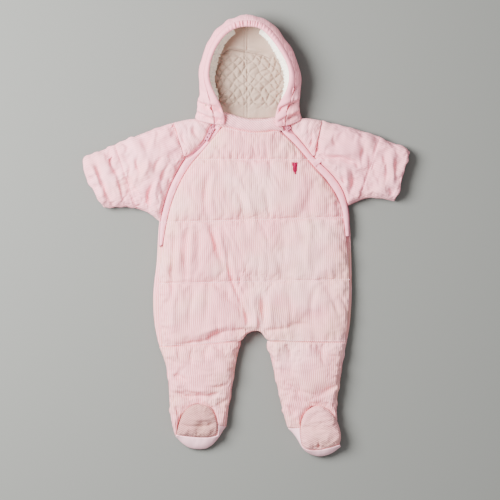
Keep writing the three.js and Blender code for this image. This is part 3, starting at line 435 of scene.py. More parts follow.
@dataclass(frozen=True)
class Line:
    """A stitched line between two places, with the puckers beside it."""

    start: tuple[float, float]
    end: tuple[float, float]
    sink: float = 0.8
    groove: float = 2.2
    puckers: Puckers = Puckers(0.55, 14, 11)

    def distance(self, x: np.ndarray, y: np.ndarray) -> np.ndarray:
        """Gives the distance from the line, in metres."""
        along, across, length = beside(self.start, self.end, x, y)
        return np.hypot(across, along - np.clip(along, 0, length))

    def height(self, x: np.ndarray, y: np.ndarray, seed: int) -> np.ndarray:
        """Gives the groove under the stitches and the puckers on both sides.

        Args:
            x: Places in metres.
            y: Places in metres.
            seed: Seed of the puckers.

        Returns:
            Heights in metres.
        """
        along, across, length = beside(self.start, self.end, x, y)
        inside = (along > -10 * MM) & (along < length + 10 * MM)
        off = np.abs(across)
        groove = -self.sink * MM * np.exp(-((off / (self.groove * MM)) ** 2))
        side = np.where(across > 0, 0.0, 0.35)
        gathers = ripple(along + side, side, self.puckers.spacing * MM, seed, 0.0, 0.1)
        near = np.exp(-off / (self.puckers.reach * MM)) * (1 - np.exp(-off / (1.5 * MM)))
        return np.where(inside, groove + self.puckers.rise * MM * gathers * near, 0.0)


@dataclass
class Relief:
    """All that raises a panel's outer face above the plain form of its solid.

    The broad part comes before the cloth settles, the fine part after it.
    """

    folds: Sequence[Fold] = ()
    lines: Sequence[Line] = ()
    seam: Puckers = Puckers()
    swell: float = 0.5
    swell_length: float = 34.0
    crinkle: float = 0.0
    crinkle_length: float = 16.0
    crinkle_heading: float = 0.0
    seed: int = 1

    def broad(self, place: np.ndarray) -> np.ndarray:
        """Adds up the crinkles and the swell of the padding.

        Args:
            place: Points of the panel in metres, one row each.

        Returns:
            Heights in metres.
        """
        x, y = place[:, 0], place[:, 1]
        total = ripple(x, y, self.swell_length * MM, self.seed) * self.swell * MM
        return total + self.billows(x, y, 1.0)

    def billows(self, x: np.ndarray, y: np.ndarray, scale: float) -> np.ndarray:
        """Gives the soft rounds of the padding, with the sharp creases between them.

        Args:
            x: Places in metres.
            y: Places in metres.
            scale: Their size, as a share of the panel's own.

        Returns:
            Heights in metres.
        """
        if not self.crinkle:
            return np.zeros_like(x)
        seed = self.seed + int(100 * scale)
        folded = ripple(x, y, self.crinkle_length * scale * MM, seed + 7, self.crinkle_heading, 0.6)
        patch = 0.7 + 0.45 * ripple(x, y, 60 * MM, seed + 8)
        return (np.sqrt(np.abs(folded)) - 0.75) * np.clip(patch, 0.1, 1.5) * self.crinkle * scale * MM

    def fine(self, place: np.ndarray, edge: np.ndarray, gap: np.ndarray) -> np.ndarray:
        """Adds up the folds, the stitched lines and the puckers along the seams.

        Args:
            place: Points of the panel in metres, one row each.
            edge: The nearest point of the panel's outline to each.
            gap: The distance to it.

        Returns:
            Heights in metres.
        """
        gathers = ripple(edge[:, 0], edge[:, 1], self.seam.spacing * MM, self.seed + 3)
        near = np.exp(-gap / (self.seam.reach * MM)) * (1 - np.exp(-gap / (2 * MM)))
        total = gathers * near * self.seam.rise * MM
        total = total + self.billows(place[:, 0], place[:, 1], 0.7)
        for fold in self.folds:
            total += fold.height(place[:, 0], place[:, 1])
        for number, line in enumerate(self.lines):
            total += line.height(place[:, 0], place[:, 1], self.seed + 20 + number)
        return total


# Meshes


def new_object(name: str, mesh: bpy.types.Mesh) -> bpy.types.Object:
    """Links a new object for a mesh."""
    made = bpy.data.objects.new(name, mesh)
    bpy.context.scene.collection.objects.link(made)
    return made


def mesh_of(name: str, shape: bmesh.types.BMesh) -> bpy.types.Mesh:
    """Turns an edited shape into a new mesh and frees the shape."""
    mesh = bpy.data.meshes.new(name)
    shape.to_mesh(mesh)
    shape.free()
    return mesh


def plain_copy(name: str, source: bpy.types.Object) -> bpy.types.Object:
    """Evaluates an object's modifiers into a new plain object and removes the first.

    Args:
        name: The new object's name.
        source: The object with modifiers.

    Returns:
        The plain object.
    """
    bpy.context.view_layer.update()
    seen = source.evaluated_get(bpy.context.evaluated_depsgraph_get())
    mesh = bpy.data.meshes.new_from_object(seen)
    bpy.data.objects.remove(source)
    mesh.name = name
    return new_object(name, mesh)


def points_of(mesh: bpy.types.Mesh) -> np.ndarray:
    """Reads a mesh's points, one row each."""
    flat = np.empty(len(mesh.vertices) * 3)
    mesh.vertices.foreach_get("co", flat)
    return flat.reshape(-1, 3)


def normals_of(mesh: bpy.types.Mesh) -> np.ndarray:
    """Reads a mesh's point normals, one row each."""
    flat = np.empty(len(mesh.vertices) * 3)
    mesh.vertex_normals.foreach_get("vector", flat)
    return flat.reshape(-1, 3)


def smooth(mesh: bpy.types.Mesh) -> None:
    """Shades a mesh smoothly."""
    mesh.polygons.foreach_set("use_smooth", [True] * len(mesh.polygons))
    mesh.update()


def subdivided(name: str, source: bpy.types.Object, levels: int) -> bpy.types.Object:
    """Subdivides an object into a new plain one and removes the first.

    Args:
        name: The new object's name.
        source: The object.
        levels: Number of subdivisions.

    Returns:
        The new object.
    """
    old = source.data
    rounder = source.modifiers.new("rounder", "SUBSURF")
    rounder.levels = levels
    rounder.render_levels = levels
    made = plain_copy(name, source)
    bpy.data.meshes.remove(old)
    return made


FRAMES = 18
FARTHEST = 3.5 * MM


def settle(piece: bpy.types.Object, held: np.ndarray, growth: float) -> None:
    """Lets padding press the cloth out between its seams, where it is a little too large.

    Args:
        piece: The panel.
        held: Which points don't move.
        growth: Share by which the cloth is larger than its place.
    """
    before = points_of(piece.data)
    group = piece.vertex_groups.new(name="held")
    group.add(np.nonzero(held)[0].tolist(), 1.0, "REPLACE")
    modifier = piece.modifiers.new("cloth", "CLOTH")
    cloth = modifier.settings
    cloth.quality = 6
    cloth.mass = 0.15
    cloth.tension_stiffness = 20
    cloth.compression_stiffness = 20
    cloth.shear_stiffness = 8
    cloth.bending_stiffness = 0.15
    cloth.shrink_min = -growth
    cloth.use_pressure = True
    cloth.uniform_pressure_force = 4
    cloth.effector_weights.gravity = 0
    cloth.vertex_group_mass = "held"
    modifier.point_cache.frame_start = 1
    modifier.point_cache.frame_end = FRAMES
    modifier.collision_settings.use_collision = False
    scene = bpy.context.scene
    for number in range(1, FRAMES + 1):
        scene.frame_set(number)
    seen = piece.evaluated_get(bpy.context.evaluated_depsgraph_get())
    after = points_of(seen.data)
    piece.modifiers.remove(modifier)
    piece.vertex_groups.remove(group)
    scene.frame_set(1)
    move = after - before
    size = np.linalg.norm(move, axis=1, keepdims=True)
    move *= FARTHEST * np.tanh(size / FARTHEST) / np.maximum(size, 1e-9)
    LOG.info("%s would settle by %.2f mm, capped at %.1f mm", piece.name, size.max() / MM,
             FARTHEST / MM)
    piece.data.vertices.foreach_set("co", (before + move).ravel())
    piece.data.update()


def cage_of(node: bpy.types.Object, sharp: float) -> tuple[bpy.types.Mesh, np.ndarray]:
    """Turns a node's triangles back into quads and marks its corners.

    Args:
        node: The CAD node.
        sharp: The angle in degrees from which an edge stays a corner.

    Returns:
        The mesh, and points spread along its marked edges.
    """
    cage = bmesh.new()
    cage.from_mesh(node.data)
    bmesh.ops.remove_doubles(cage, verts=cage.verts, dist=0.02 * MM)
    bmesh.ops.join_triangles(cage, faces=cage.faces[:], angle_face_threshold=math.radians(35),
                             angle_shape_threshold=math.radians(120))
    crease = cage.edges.layers.float.new("crease_edge")
    outline = []
    for edge in cage.edges:
        if len(edge.link_faces) == 2 and edge.calc_face_angle() > math.radians(sharp):
            edge[crease] = 1.0
            ends = [np.array(vertex.co) for vertex in edge.verts]
            steps = max(int(edge.calc_length() / (2 * MM)), 1)
            outline += [ends[0] + (ends[1] - ends[0]) * step / steps for step in range(steps)]
    return mesh_of("cage", cage), np.array(outline)


def drop_hidden_faces(mesh: bpy.types.Mesh, height: float) -> None:
    """Merges the flat faces at a height into one, because nothing shows of them.

    Args:
        mesh: The mesh.
        height: Z of the hidden flat side, in metres.
    """
    shape = bmesh.new()
    shape.from_mesh(mesh)
    hidden = [face for face in shape.faces
              if all(abs(vertex.co.z - height) < 0.02 * MM for vertex in face.verts)]
    if hidden:
        bmesh.ops.dissolve_faces(shape, faces=hidden, use_verts=True)
    shape.to_mesh(mesh)
    shape.free()


def nearest(points: np.ndarray, places: np.ndarray) -> tuple[np.ndarray, np.ndarray]:
    """Finds the nearest of some points in plan.

    Args:
        points: The points to choose from.
        places: Where to look from.

    Returns:
        For each place, the nearest point in plan and the distance to it.
    """
    tree = KDTree(len(points))
    for index, point in enumerate(points):
        tree.insert((point[0], point[1], 0), index)
    tree.balance()
    found = [tree.find((place[0], place[1], 0)) for place in places]
    return np.array([item[0][:2] for item in found]), np.array([item[2] for item in found])


def set_grain(mesh: bpy.types.Mesh, across: np.ndarray, along: np.ndarray) -> None:
    """Stores the place across and along the grain on each point of a mesh."""
    layer = mesh.attributes.new("grain", "FLOAT_VECTOR", "POINT")
    values = np.stack([across, along, np.zeros_like(across)], axis=1)
    layer.data.foreach_set("vector", values.ravel())


class Suit:
    """What all the pieces share: the frame, the finishes and the pieces made so far."""

    def __init__(self) -> None:
        """Loads the frame and makes every finish once."""
        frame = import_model()
        self.nodes: dict[str, bpy.types.Object] = frame["nodes"]
        self.finishes = {key: finish.make() for key, finish in FINISHES.items()}
        self.cloth: list[bpy.types.Object] = []
        self.count = 0

    def add(self, piece: bpy.types.Object, finish: str, slot: Slot, replaced: Sequence[str] = (),
            body: str = ROOT_BODY) -> bpy.types.Object:
        """Dresses a piece and tells the frame about it.

        Args:
            piece: The finished object.
            finish: Key of its finish.
            slot: The record's slot; not used.
            replaced: The CAD nodes that it stands for.
            body: The body that it rides on.

        Returns:
            The piece.
        """
        piece.data.materials.clear()
        piece.data.materials.append(self.finishes[finish])
        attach(piece, body)
        if replaced:
            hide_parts(*replaced)
        self.count += 1
        LOG.info("%s: %d triangles", piece.name,
                 sum(len(face.vertices) - 2 for face in piece.data.polygons))
        return piece

    def surface(self) -> BVHTree:
        """Gives a tree of all the cloth made so far, for things that lie on it."""
        points: list[Vector] = []
        faces: list[tuple[int, ...]] = []
        for piece in self.cloth:
            start = len(points)
            points += [vertex.co.copy() for vertex in piece.data.vertices]
            faces += [tuple(start + index for index in face.vertices) for face in piece.data.polygons
                      if face.normal.z > 0.05]
        return BVHTree.FromPolygons(points, faces)


@dataclass
class Panel:
    """One cut piece of cloth with its padding, made from its solid's own form."""

    node: str
    finish: str
    relief: Relief = field(default_factory=Relief)
    slot: Slot = Slot.CORDUROY
    levels: int = 3
    sharp: float = 50.0
    hidden: Optional[float] = 10.35
    fill: float = 0.6
    cut: Optional[tuple[float, float]] = None
    grain: float = 0.0
    grain_drift: float = 1.2
    growth: float = 0.0
    lip: float = 0.9
    pile: float = 0.0
    waviness: float = 0.0
    sewn_toward: tuple[float, float] = (0.0, 0.0)
    still_below: float = -1000.0
    extra: Optional[Callable[[np.ndarray], np.ndarray]] = None
    bend: Optional[Callable[[np.ndarray], np.ndarray]] = None
    outline: np.ndarray = field(default_factory=lambda: np.zeros((0, 3)))

    def build(self, suit: Suit) -> bpy.types.Object:
        """Makes the panel.

        Args:
            suit: The suit that it belongs to.

        Returns:
            The finished piece.
        """
        mesh, self.outline = cage_of(suit.nodes[self.node], self.sharp)
        coarse = min(self.levels - 1, 2)
        draft = subdivided("draft", new_object("cage", mesh), coarse)
        self.raise_broad(draft.data)
        if self.growth:
            settle(draft, self.held(draft.data), self.growth)
        piece = subdivided(f"cloth_{self.node}", draft, self.levels - coarse)
        self.raise_fine(piece.data)
        if self.hidden is not None:
            drop_hidden_faces(piece.data, self.hidden * MM)
        place = points_of(piece.data)
        turn = math.radians(self.grain)
        x, y = place[:, 0], place[:, 1]
        drift = ripple(x, y, 130 * MM, self.relief.seed + 40) * self.grain_drift * MM
        set_grain(piece.data, x * math.cos(turn) + y * math.sin(turn) + drift,
                  y * math.cos(turn) - x * math.sin(turn))
        smooth(piece.data)
        suit.add(piece, self.finish, self.slot, [self.node])
        if self.cut is not None:
            width, length = self.cut
            width * MM
            length * MM
        suit.cloth.append(piece)
        return piece

    def held(self, mesh: bpy.types.Mesh) -> np.ndarray:
        """Tells which points stay where they are while the cloth settles.

        Args:
            mesh: The mesh.

        Returns:
            For each point, whether it is sewn, hidden or on a side.
        """
        place, normal = points_of(mesh), normals_of(mesh)
        _, gap = nearest(self.outline, place)
        held = (gap < 2.5 * MM) | (normal[:, 2] < 0.35)
        for line in self.relief.lines:
            held |= line.distance(place[:, 0], place[:, 1]) < 2.5 * MM
        return held

    def raise_broad(self, mesh: bpy.types.Mesh) -> None:
        """Raises the swell of the padding, and makes free edges wavy.

        Args:
            mesh: The coarser mesh.
        """
        place, normal = points_of(mesh), normals_of(mesh)
        _, gap = nearest(self.outline, place)
        facing = np.clip(normal[:, 2], 0, 1)
        easing = 1 - np.exp(-gap / (3 * MM))
        moved = place + normal * (self.relief.broad(place) * facing * easing)[:, None]
        if self.waviness:
            wave = ripple(place[:, 0], place[:, 1], 26 * MM, self.relief.seed + 50) * self.waviness * MM
            sewn = np.clip(normal[:, :2] @ np.array(self.sewn_toward), 0, 1)
            wave *= np.clip(1 - 2.5 * sewn, 0, 1) * (place[:, 1] > self.still_below * MM)
            side = normal[:, :2] * (1 - np.abs(normal[:, 2]))[:, None]
            moved[:, :2] += side * wave[:, None]
        if self.bend is not None:
            moved = self.bend(moved)
        mesh.vertices.foreach_set("co", moved.ravel())
        mesh.update()

    def raise_fine(self, mesh: bpy.types.Mesh) -> None:
        """Raises folds, stitched lines and puckers, and closes the lips of the seams.

        Args:
            mesh: The finer mesh.
        """
        place, normal = points_of(mesh), normals_of(mesh)
        edge, gap = nearest(self.outline, place)
        height = self.relief.fine(place, edge, gap)
        if self.extra is not None:
            height = height + self.extra(place)
        share = np.clip(normal[:, 2], 0, 1) * (1 - np.exp(-gap / (1.2 * MM)))
        if self.pile:
            tufts = ripple(place[:, 0] * 1.3, place[:, 1] + place[:, 2] * 0.7, 5 * MM, self.relief.seed + 60)
            taper = 1 - 0.85 * np.clip((place[:, 1] - 0.3) / 0.035, 0, 1)
            height = height + self.pile * MM * (1 + 0.16 * tufts) * taper
            share = np.ones_like(gap)
        moved = place + normal * (height * share)[:, None]
        side = np.clip(1.15 - np.abs(normal[:, 2]), 0, 1) * np.exp(-gap / (3 * MM))
        moved[:, :2] += normal[:, :2] * (side * self.lip * MM)[:, None]
        moved[:, 2] = np.maximum(moved[:, 2], 0)
        mesh.vertices.foreach_set("co", moved.ravel())
        mesh.update()


# The panels


QUILTING = (
    Line((-152, 123.3), (172, 122.5)),
    Line((-152, 22), (172, 31)),
    Line((-152, -76), (172, -69)),
)
FRONT_FOLDS = folds(
    (-50, 17, -34, -30, 2.2, 3.6, -1),
    (-58, 15, -41, -34, -2.2, 3.4, -1),
    (-32, -20, -10, -100, -3.2, 4, 4),
    (-24, -30, 4, -122, 2.8, 4, 4),
    (-10, -98, 5, -136, -3.6, 4),
    (24, -90, 27, -146, -3.2, 4, -2),
    (36, -96, 40, -150, 2.4, 4),
    (-93, 18, -97, -70, -3.2, 3.5, 2),
    (-86, 16, -90, -66, 2.4, 4, 2),
    (-77, 20, -80, -60, -2.0, 3.5, -2),
    (-114, 12, -119, -100, -2.7, 3.5, 2),
    (-104, 8, -108, -70, 1.9, 4, 2),
    (-52, 16, -40, -40, -2.0, 4, 3),
    (-43, 16, -31, -40, 2.0, 4, 3),
    (-60, 100, -66, 36, -2.8, 4.5, 3),
    (-51, 102, -56, 40, 2.3, 4, 3),
    (-22, 80, -2, 34, -2.0, 4, -4),
    (-11, 84, 8, 36, 1.9, 4, -4),
    (30, 78, 36, 36, -1.6, 4),
    (60, 20, 62, -52, -1.6, 5, 2),
    (104, 16, 98, -58, 1.6, 5, 3),
    (-82, -82, -92, -146, -2.4, 4, 3),
    (-62, -84, -66, -140, -1.6, 4),
    (-112, -84, -118, -150, 1.9, 4, 3),
    (64, -80, 72, -146, -1.9, 4, -3),
    (112, -78, 104, -140, -2.4, 4, 4),
    (130, -84, 150, -128, -2.0, 4),
    (3, -150, -30, -152, -2.4, 3),
    (-30, -152, -66, -168, -3.6, 3.2, 2),
    (-64, -168, -104, -174, -2.8, 3),
    (-30, -143, -76, -157, 2.7, 4, 2),
    (30, -151, 66, -148, -2.8, 3),
    (62, -147, 98, -140, -2.3, 3.2, -2),
    (0, -122, 2, -146, -2.3, 3),
    (14, -118, 15, -146, 1.9, 3),
    (132, 20, 156, 14, -2.0, 2.5),
    (134, 8, 154, 4, 1.6, 2.5),
)
SLEEVE_FOLDS = {
    "left": folds(
        (-241, 122, -214, 50, -4.6, 3.2, 4),
        (-250, 112, -228, 58, 3.4, 3.5, -3),
        (-219, 140, -207, 100, -5.1, 3, 3),
        (-207, 100, -196, 54, -3.4, 3, -2),
        (-196, 128, -188, 96, -3.6, 3, -4),
        (-190, 96, -166, 60, -4.2, 3.2, 4),
        (-174, 132, -170, 100, -3.6, 3, 3),
        (-176, 98, -182, 66, 3.1, 3.2, 2),
        (-158, 124, -166, 96, 3.4, 3.2, -3),
        (-149, 84, -156, 42, -5.1, 3.4, 4),
        (-141, 92, -146, 56, 3.1, 3.4, 3),
        (-134, 128, -146, 104, -3.4, 3.2, 3),
        (-122, 118, -136, 84, -3.4, 3.4, 2),
        (-152, 158, -160, 138, -2.8, 3, 2),
        (-188, 150, -194, 132, -2.8, 3),
    ),
    "right": folds(
        (121, 128, 150, 126, -3.8, 3.4, 2),
        (148, 126, 176, 119, -3.8, 3.2, 2),
        (174, 120, 180, 108, -2.7, 3),
        (126, 136, 168, 132, 2.5, 4, 2),
        (124, 118, 152, 112, 2.1, 3.6, 2),
        (168, 107, 166, 70, -3.4, 3.2, -4),
        (158, 110, 156, 72, 2.3, 3.4, -3),
        (150, 104, 160, 84, -2.3, 3, 2),
        (219, 130, 222, 86, -2.9, 3, -4),
        (230, 132, 234, 84, 2.3, 3.4, -3),
        (242, 128, 240, 92, -2.3, 3, 3),
        (190, 144, 186, 108, -2.3, 3, 3),
        (140, 164, 144, 144, -2.1, 3.2, 2),
        (206, 132, 198, 96, 1.8, 3.4, 3),
        (228, 78, 236, 64, -2.1, 3),
    ),
}
SLEEVE_LINES = {
    "left": Line((-212, 149), (-177, 44), 2.6, 2.2, Puckers(0.8, 10, 9)),
    "right": Line((213, 160), (180, 58), 1.8, 1.8, Puckers(0.6, 10, 8)),
}
SLEEVE_CRINKLE = {"left": 1.2, "right": 0.4}
LEG_FOLDS = {
    "left": folds(
        (-120, -222, -92, -236, -3.2, 3.2, -3),
        (-112, -250, -78, -256, -3.6, 3.2, 3),
        (-78, -256, -42, -250, -3.2, 3, 3),
        (-100, -243, -60, -246, 2.5, 3.4, 2),
        (-26, -236, -58, -242, -3.2, 3, -2),
        (-30, -262, -50, -272, -2.2, 3),
        (-88, -178, -90, -204, -2.2, 3.4),
        (-62, -176, -66, -200, -2.2, 3.4, 2),
        (-114, -272, -104, -290, -2.5, 3),
    ),
    "right": folds(
        (56, -238, 92, -252, -2.5, 3.4, -3),
        (148, -240, 116, -256, -2.5, 3.2, 2),
        (50, -214, 84, -222, -2.1, 3.6, -2),
        (120, -176, 124, -204, -2.1, 3.4, 2),
        (66, -172, 70, -196, -2.1, 3.4, -2),
        (62, -272, 78, -284, -2.5, 3),
        (142, -262, 138, -284, -2.5, 3),
        (72, -290, 84, -298, -2.2, 2.6),
    ),
}
YOKE_FOLDS = {
    "left": folds(
        (-104, 168, -92, 142, -2.4, 3.2, 3),
        (-84, 184, -80, 160, -2.8, 3, 2),
        (-98, 160, -90, 134, 1.8, 3.2, 2),
    ),
    "right": folds(
        (104, 168, 100, 140, -2.4, 3.2, -3),
        (90, 184, 86, 162, -2.4, 3, 2),
        (116, 160, 108, 134, 1.8, 3.2, 2),
    ),
}
WELT_FOLDS = {
    "left": folds(
        (-124, 74, -118, 66, -0.7, 3),
        (-136, 26, -128, 20, -0.8, 2),
    ),
    "right": folds(
        (152, 50, 160, 46, -0.7, 3),
        (160, 12, 165, 8, -0.8, 2),
    ),
}
TAPE_CUT = {"left": (15.0, 246.0), "right": (15.0, 238.0)}
HOOD_FOLDS = {
    "left": folds(
        (-82, 215, -36, 199, -6.5, 2.4, 2),
        (-82, 223, -46, 210, 4.0, 3.4, 2),
        (-84, 206, -42, 190, 4.0, 3, 2),
        (-82, 199, -48, 182, -5.5, 2.4, 1),
        (-80, 242, -64, 226, -2.8, 3.4, 2),
    ),
    "right": folds(
        (44, 196, 88, 214, -6.5, 2.4, -2),
        (54, 207, 88, 223, 4.0, 3.4, -2),
        (52, 187, 88, 204, 4.0, 3, -2),
        (60, 183, 90, 196, -5.5, 2.4, -1),
        (72, 226, 86, 240, -2.8, 3.4, -2),
    ),
}
RIM_FOLDS = folds(
    (-60, 208, -38, 198, -3.4, 2.2),
    (-56, 190, -34, 180, -2.8, 2.2),
    (46, 197, 62, 205, -3.4, 2.2),
    (50, 182, 66, 190, -2.8, 2.2),
)
LINING_FOLDS = folds(
    (-38, 292, -25, 299, -2.2, 1.6),
    (-27, 299.5, 18, 292, -2.4, 1.6, -1),
    (16, 292, 36, 285, -2.2, 1.6, 1),
    (-34, 298, -20, 305, 1.6, 3),
    (-22, 305, 30, 296, 1.6, 3),
)
VAMP_FOLDS = {
    "left": folds(
        (-106, -300, -78, -304, -2.2, 2.6, 2),
        (-78, -304, -50, -298, -2.2, 2.6, 2),
        (-98, -290, -58, -292, 1.3, 3, 2),
    ),
    "right": folds(
        (94, -305, 142, -308, -1.3, 3.4, 3),
        (115, -329, 116, -344, -2.9, 2),
        (104, -338, 127, -337, -2.4, 1.8, 1),
    ),
}


def lining_quilt(place: np.ndarray) -> np.ndarray:
    """Raises the lining's diamonds, which fade toward the crown and behind the collar.

    Args:
        place: Points in metres.

    Returns:
        Heights in metres.
    """
    x = place[:, 0] + np.sign(place[:, 0]) * place[:, 2] * 0.9
    x = x + ripple(place[:, 0], place[:, 1], 34 * MM, 61) * 1.6 * MM
    y = place[:, 1] + ripple(place[:, 0], place[:, 1], 34 * MM, 62) * 2.0 * MM
    one = np.abs(np.sin(math.pi * (x / (15.5 * MM) + y / (17.5 * MM))))
    two = np.abs(np.sin(math.pi * (x / (15.5 * MM) - y / (17.5 * MM))))
    puff = 1.1 * np.sqrt(np.minimum(one, two))
    fade = np.clip((0.293 - place[:, 1]) / 0.006, 0, 1) * np.clip((place[:, 1] - 0.203) / 0.01, 0, 1)
    fine = np.abs(ripple(place[:, 0], place[:, 1], 15 * MM, 63))
    depth = 3.2 + 1.2 * np.clip(np.abs(place[:, 0]) / 0.04, 0, 1)
    centre = -1.4 * MM * np.exp(-((place[:, 0] + 3.4 * MM) / (0.9 * MM)) ** 2)
    return (puff - 0.25) * depth * MM * fade - fine * fade * 0.5 * MM + centre * 0.6 + 1.4 * MM


def gathers(place: np.ndarray) -> np.ndarray:
    """Draws the rim's casing into fine gathers, deepest over the crown.

    Args:
        place: Points in metres.

    Returns:
        Heights in metres.
    """
    angle = np.arctan2(place[:, 1] - 0.255, place[:, 0] - 0.003)
    crown = np.exp(-((angle - math.pi / 2) / 0.55) ** 2)
    wave = ripple(angle, angle * 0, 0.06, 71, 0.0, 0.05)
    creases = sum(fold.height(place[:, 0], place[:, 1]) for side in SIDES for fold in HOOD_FOLDS[side])
    return wave * (0.15 + 0.95 * crown) * MM + creases * 0.7


def tuck_collar(place: np.ndarray) -> np.ndarray:
    """Carries both ends of the collar on under the corners of the hood.

    Args:
        place: Points in metres.

    Returns:
        The moved points.
    """
    moved = place.copy()
    off = place[:, 0] - 7 * MM
    share = np.clip((np.abs(off) - 30 * MM) / (14 * MM), 0, 1) ** 2
    upper = np.clip((place[:, 2] - 13 * MM) / (4 * MM), 0, 1)
    moved[:, 0] += np.sign(off) * share * upper * 10 * MM
    moved[:, 1] -= share * upper * 3.5 * MM
    return moved


@dataclass(frozen=True)
class HoodCorner:
    """A front corner of the hood, whose rim curves in over the end of the collar."""

    edge_at: float
    edge_slope: float
    reach: float

    def move(self, place: np.ndarray) -> np.ndarray:
        """Gives how far points move along X, in metres.

        Args:
            place: Points in metres.

        Returns:
            The moves.
        """
        y = place[:, 1] / MM
        edge = self.edge_at + (y - 186) * self.edge_slope
        off = (place[:, 0] / MM - edge) * np.sign(self.edge_at)
        rise = np.clip((262 - y) / 56, 0, 1)
        drop = np.clip((y - 174) / 16, 0, 1)
        near = np.where(off > 0, np.exp(-((off / 17) ** 2)), np.exp(-((off / 30) ** 2)))
        return -np.sign(self.edge_at) * self.reach * MM * rise**2 * (3 - 2 * rise) * np.sqrt(drop) * near


HOOD_CORNERS = (HoodCorner(-43, -0.3175, 9.5), HoodCorner(51.8, 0.2, 7.0))


def close_hood(place: np.ndarray) -> np.ndarray:
    """Curves the hood's front corners in over the collar.

    Args:
        place: Points in metres.

    Returns:
        The moved points.
    """
    moved = place.copy()
    for corner in HOOD_CORNERS:
        own = np.sign(place[:, 0] - 4 * MM) == np.sign(corner.edge_at)
        moved[:, 0] += np.where(own, corner.move(place), 0)
    return moved


# Shares of a zip's width at which the welt would end above its fold, and below it
TEETH_SHARE = 0.68
WELT_REACH = 0.95


@dataclass(frozen=True)
class Zip:
    """The lie of a zip and of the welt over it."""

    inner: Path
    outer: Path
    fold: tuple[tuple[float, float], tuple[float, float]]
    teeth: Path

    def locate(self, place: np.ndarray) -> tuple[np.ndarray, np.ndarray]:
        """Finds where across the zip some points lie.

        Args:
            place: Points in metres.

        Returns:
            Their shares of the way from the inner to the outer edge, and that way in metres.
        """
        inner, outer = (even_spacing(spline(edge), 240) for edge in (self.inner, self.outer))
        way = outer - inner
        shares = np.empty(len(place))
        ways = np.empty((len(place), 2))
        for index, point in enumerate(place[:, :2]):
            share = np.clip(np.sum((point - inner) * way, axis=1) / np.sum(way * way, axis=1), -0.2, 1.2)
            best = np.argmin(np.sum((inner + share[:, None] * way - point) ** 2, axis=1))
            shares[index], ways[index] = share[best], way[best]
        return shares, ways

    def cover(self, place: np.ndarray) -> np.ndarray:
        """Tells how far the welt lies over the teeth, from 0 above its fold to 1 below it."""
        below = beside(*self.fold, place[:, 0], place[:, 1])[1]
        share = np.clip(0.5 + below / (4 * MM), 0, 1)
        return share * share * (3 - 2 * share)

    def mouth(self, place: np.ndarray) -> np.ndarray:
        """Tells how near below the fold some points lie, where the welt stands off the teeth."""
        below = beside(*self.fold, place[:, 0], place[:, 1])[1]
        return np.exp(-np.clip(below, 0, None) / (9 * MM))

    def spread(self, place: np.ndarray) -> np.ndarray:
        """Widens the welt over the teeth below its fold.

        Args:
            place: Points of the welt in metres.

        Returns:
            The moved points.
        """
        share, way = self.locate(place)
        cover = self.cover(place)
        moved = place.copy()
        reach = WELT_REACH / TEETH_SHARE - 1
        moved[:, :2] += way * (share * reach * cover)[:, None]
        upper = np.clip((place[:, 2] - place[:, 2].min()) / (1.5 * MM), 0, 1)
        lift = 1.6 + 2.4 * self.mouth(place)
        moved[:, 2] += lift * MM * upper * cover * np.clip(share / TEETH_SHARE, 0, 1)
        return moved

    def flatten(self, place: np.ndarray) -> np.ndarray:
        """Sinks the row of teeth where the welt lies over it.

        Args:
            place: Points of the tape in metres.

        Returns:
            The moved points.
        """
        moved = place.copy()
        wall = place[:, 2].min() + 1.3 * MM
        over = np.clip(place[:, 2] - wall, 0, None)
        moved[:, 2] -= over * self.cover(place) * 0.95
        return moved


ZIPS = {
    "left": Zip(((-134, -14), (-128, 23), (-117, 63), (-96, 106), (-68, 140), (-37.5, 177), (-38, 185)),
                ((-140.5, -16), (-140, 7), (-138, 30), (-126, 74), (-112, 103), (-99, 125), (-83, 137),
                 (-66, 156), (-52, 186)),
                ((-101, 122), (-81, 130)), ((-90, 131), (-80, 139), (-70, 149.5), (-62, 160))),
    "right": Zip(((158.3, 0), (154, 36), (146, 62), (130, 87), (108, 111), (79, 145), (57, 166),
                  (52, 171.5), (51, 181)),
                 ((165, 0), (164.5, 36), (161, 55), (155, 74), (145, 90), (130, 107), (109, 126),
                  (90, 150), (69, 173), (62, 183)),
                 ((60, 160), (80, 168)), ()),
}


